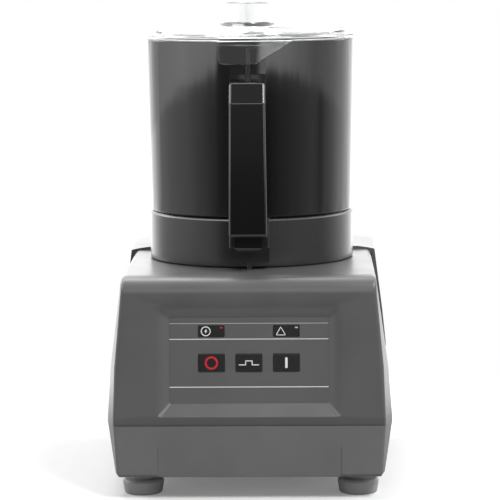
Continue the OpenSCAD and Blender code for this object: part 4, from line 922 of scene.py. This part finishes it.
@dataclass
class Lid:
    """The clear lid and its seal."""

    def build(self) -> None:
        """Soften and dress the lid."""
        dress("lid", "clear_lid", "lid", LID_POLYCARBONATE, "clear_lid", 0.0006, 25.0)
        paint_nodes(SEAL_SILICONE, "lid_gasket")


Stops = tuple[tuple[float, float], ...]


@dataclass(frozen=True)
class Ring:
    """What gloss sees all round the studio, from one height upwards.

    A stop is an angle, in degrees to the right of the camera, and the level
    there. The ring begins at a rise over the level line, with a soft edge.
    """

    stops: Stops
    rise: float
    soft: float


# Near the table: a white wall at the back, grey walls at the sides with a dark
# flag on the right, and a dark room behind the camera.
TABLE_RING: Stops = (
    (-180.0, 4.0), (-135.0, 2.0), (-120.0, 1.0), (-75.0, 1.0), (-30.0, 0.2), (-10.0, 0.08),
    (20.0, 0.08), (75.0, 0.55), (85.0, 0.3), (105.0, 0.9), (140.0, 2.0), (180.0, 4.0))
# A white box on each side of a dark gap at the camera.
BOX_RING = Ring((
    (-180.0, 4.0), (-135.0, 1.5), (-120.0, 1.2), (-80.0, 2.7), (-37.0, 2.7), (-34.0, 0.3), (8.0, 0.3),
    (13.0, 2.8), (30.0, 2.8), (75.0, 1.2), (100.0, 1.2), (140.0, 1.9), (180.0, 4.0)), -0.083, 0.002)
# Plain walls, darker at the camera.
WALL_RING = Ring((
    (-180.0, 2.6), (-150.0, 2.2), (-120.0, 1.8), (-80.0, 1.5), (-45.0, 1.2), (-25.0, 0.3), (25.0, 0.3),
    (45.0, 1.0), (80.0, 1.0), (120.0, 1.2), (150.0, 1.8), (180.0, 2.6)), -0.03, 0.03)
# Walls a little brighter, with a bright bar over the camera.
BAR_RING = Ring((
    (-180.0, 3.0), (-150.0, 2.6), (-120.0, 1.8), (-80.0, 1.5), (-45.0, 1.2), (-14.0, 0.8), (-8.0, 3.6),
    (8.0, 3.6), (14.0, 0.8), (45.0, 1.0), (80.0, 1.0), (120.0, 1.2), (150.0, 1.8), (180.0, 3.0)), 0.2, 0.03)
# A white ceiling, open over the camera.
CEILING_RING = Ring((
    (-180.0, 4.0), (-90.0, 5.0), (-35.0, 4.0), (-15.0, 0.4), (15.0, 0.4), (35.0, 3.0), (90.0, 2.6),
    (180.0, 4.0)), 0.42, 0.08)


@dataclass(frozen=True)
class Lamp:
    """One soft box: where it hangs, what it lights, its size and its watts."""

    name: str
    place: Point
    target: Point
    size: float
    power: float


LAMPS = (
    Lamp("key_box", (0.9, -1.4, 1.7), (0.0, -0.1, 0.2), 0.6, 33.0),
    Lamp("top_box", (-0.4, 0.3, 2.1), (0.0, 0.0, 0.2), 0.8, 15.0),
    Lamp("left_box", (-1.5, 0.9, 0.9), (0.0, 0.0, 0.2), 0.8, 10.0),
    Lamp("right_box", (1.6, 0.8, 0.8), (0.0, 0.0, 0.2), 0.7, 6.0))


@dataclass
class Studio:
    """Plain white studio: floor, soft lamps, world and camera."""

    floor_radius: float = 0.5
    # lightness of the floor to the eye and to light, and its own glow to the eye
    floor_seen: float = 0.92
    floor_unseen: float = 0.27
    floor_glow: float = 0.14
    plain_level: float = 0.5
    level_below: float = 0.12
    eye: Point = (0.0498, -2.226, 0.475)
    turn: float = math.radians(1.324)
    dip: float = math.radians(6.94)
    roll: float = math.radians(-0.45)
    lens: float = 173.56

    def build(self) -> None:
        """Set up the camera, the world, the lamps and the floor."""
        bpy.context.scene.view_settings.view_transform = "Standard"
        self.place_camera()
        self.light_world()
        self.hang_lamps()
        self.lay_floor()

    def place_camera(self) -> None:
        """Stand the camera where the photograph was taken from."""
        turned = (Matrix.Rotation(self.turn, 4, "Z") @ Matrix.Rotation(math.pi / 2 - self.dip, 4, "X")
                  @ Matrix.Rotation(self.roll, 4, "Z"))
        bpy.ops.object.select_all(action="DESELECT")
        bpy.ops.object.camera_add(location=self.eye, rotation=turned.to_euler())
        camera = bpy.context.active_object
        camera.name = "camera"
        camera.data.lens = self.lens
        camera.data.sensor_width = 36.0
        camera.data.clip_end = 50.0
        bpy.context.scene.camera = camera

    def rays(self, tree: bpy.types.NodeTree) -> tuple[bpy.types.NodeSocket, bpy.types.NodeSocket]:
        """Tell apart the rays that look at the studio and those that mirror it.

        Args:
            tree: Node tree that takes the nodes.

        Returns:
            A factor for rays straight or through clear pieces, and one for mirrored rays.
        """
        path = add_node(tree, "ShaderNodeLightPath")
        seen = add_node(tree, "ShaderNodeMath", {"operation": "MAXIMUM"}, {
            0: path.outputs["Is Camera Ray"], 1: path.outputs["Is Transmission Ray"]}).outputs[0]
        mirrored = add_node(tree, "ShaderNodeMath", {"operation": "MINIMUM"},
                            {0: path.outputs["Glossy Depth"], 1: 1.0}).outputs[0]
        return seen, mirrored

    def ramp(self, tree: bpy.types.NodeTree, factor: bpy.types.NodeSocket,
             stops: Stops) -> bpy.types.NodeSocket:
        """Make a level that follows the angle round the object.

        Args:
            tree: Node tree that takes the node.
            factor: Angle from the camera, as a share of a full turn.
            stops: Degrees to the right of the camera, and the level there.

        Returns:
            The level.
        """
        band = add_node(tree, "ShaderNodeValToRGB", inputs={"Fac": factor})
        places = band.color_ramp.elements
        while len(places) < len(stops):
            places.new(0.5)
        top = max(level for _, level in stops)
        for place, (angle, level) in zip(places, stops):
            place.position = 0.5 + angle / 360
            place.color = (level / top, level / top, level / top, 1.0)
        return add_node(tree, "ShaderNodeMath", {"operation": "MULTIPLY"},
                        {0: band.outputs["Color"], 1: top}).outputs[0]

    def light_world(self) -> None:
        """Light evenly, show white, and give gloss a studio with a dark side."""
        world = bpy.context.scene.world or bpy.data.worlds.new("studio")
        bpy.context.scene.world = world
        world.use_nodes = True
        tree = world.node_tree
        tree.nodes.clear()
        way = add_node(tree, "ShaderNodeSeparateXYZ",
                       inputs={0: add_node(tree, "ShaderNodeTexCoord").outputs["Generated"]})
        ahead = add_node(tree, "ShaderNodeMath", {"operation": "MULTIPLY"},
                         {0: way.outputs["Y"], 1: -1.0}).outputs[0]
        angle = add_node(tree, "ShaderNodeMath", {"operation": "ARCTAN2"},
                         {0: way.outputs["X"], 1: ahead}).outputs[0]
        share = add_node(tree, "ShaderNodeMath", {"operation": "MULTIPLY_ADD"},
                         {0: angle, 1: 1 / (2 * math.pi), 2: 0.5}).outputs[0]
        gloss = self.ramp(tree, share, TABLE_RING)
        for ring in (BOX_RING, WALL_RING, BAR_RING, CEILING_RING):
            above = add_node(tree, "ShaderNodeMapRange", {"interpolation_type": "SMOOTHSTEP"}, {
                "Value": way.outputs["Z"], "From Min": ring.rise - ring.soft,
                "From Max": ring.rise + ring.soft}).outputs[0]
            gloss = add_node(tree, "ShaderNodeMix", {"data_type": "FLOAT"}, {
                0: above, 2: gloss, 3: self.ramp(tree, share, ring.stops)}).outputs[0]
        seen, mirrored = self.rays(tree)
        plain = add_node(tree, "ShaderNodeMapRange", inputs={
            "Value": way.outputs["Z"], "From Min": -0.1, "From Max": 0.1,
            "To Min": self.level_below, "To Max": self.plain_level}).outputs[0]
        level = add_node(tree, "ShaderNodeMix", {"data_type": "FLOAT"}, {
            0: seen, 2: plain, 3: 1.0}).outputs[0]
        level = add_node(tree, "ShaderNodeMix", {"data_type": "FLOAT"}, {
            0: mirrored, 2: level, 3: gloss}).outputs[0]
        light = add_node(tree, "ShaderNodeBackground", inputs={
            "Color": (1.0, 1.0, 1.0, 1.0), "Strength": level})
        add_node(tree, "ShaderNodeOutputWorld", inputs={"Surface": light.outputs[0]})

    def hang_lamps(self) -> None:
        """Hang a soft box on each side and one overhead."""
        for box in LAMPS:
            aim = (Vector(box.target) - Vector(box.place)).to_track_quat("-Z", "Y").to_euler()
            bpy.ops.object.select_all(action="DESELECT")
            bpy.ops.object.light_add(type="AREA", location=box.place, rotation=aim)
            lamp = bpy.context.active_object
            lamp.name = box.name
            lamp.data.size = box.size
            lamp.data.energy = box.power

    def lay_floor(self) -> None:
        """Lay a white floor that keeps the shadow of the object."""
        bpy.ops.object.select_all(action="DESELECT")
        bpy.ops.mesh.primitive_circle_add(vertices=96, radius=self.floor_radius, fill_type="NGON")
        floor = bpy.context.active_object
        floor.name = "floor"
        paper = bpy.data.materials.new("white_paper_sweep")
        paper.use_nodes = True
        tree = paper.node_tree
        tree.nodes.clear()
        seen = self.rays(tree)[0]
        # white to the eye, but it throws little light up, like a table beyond the lamps
        tone = add_node(tree, "ShaderNodeMix", {"data_type": "FLOAT"}, {
            0: seen, 2: self.floor_unseen, 3: self.floor_seen}).outputs[0]
        matt = add_node(tree, "ShaderNodeBsdfDiffuse", inputs={"Color": tone})
        lift = add_node(tree, "ShaderNodeMath", {"operation": "MULTIPLY"},
                        {0: seen, 1: self.floor_glow}).outputs[0]
        glow = add_node(tree, "ShaderNodeEmission", inputs={
            "Color": (1.0, 1.0, 1.0, 1.0), "Strength": lift})
        both = add_node(tree, "ShaderNodeAddShader", inputs={0: matt.outputs[0], 1: glow.outputs[0]})
        add_node(tree, "ShaderNodeOutputMaterial", inputs={"Surface": both.outputs[0]})
        floor.data.materials.append(paper)


def main() -> None:
    """Build the studio and dress every sub-assembly."""
    logging.basicConfig(level=logging.INFO, format="%(name)s: %(message)s")
    bpy.ops.object.select_all(action="DESELECT")
    Studio().build()
    for assembly in (Housing(), ControlPanel(), Drive(), Bowl(), Knife(), Lid()):
        assembly.build()
        LOG.info("%s done", type(assembly).__name__)


if __name__ == "__main__":
    main()
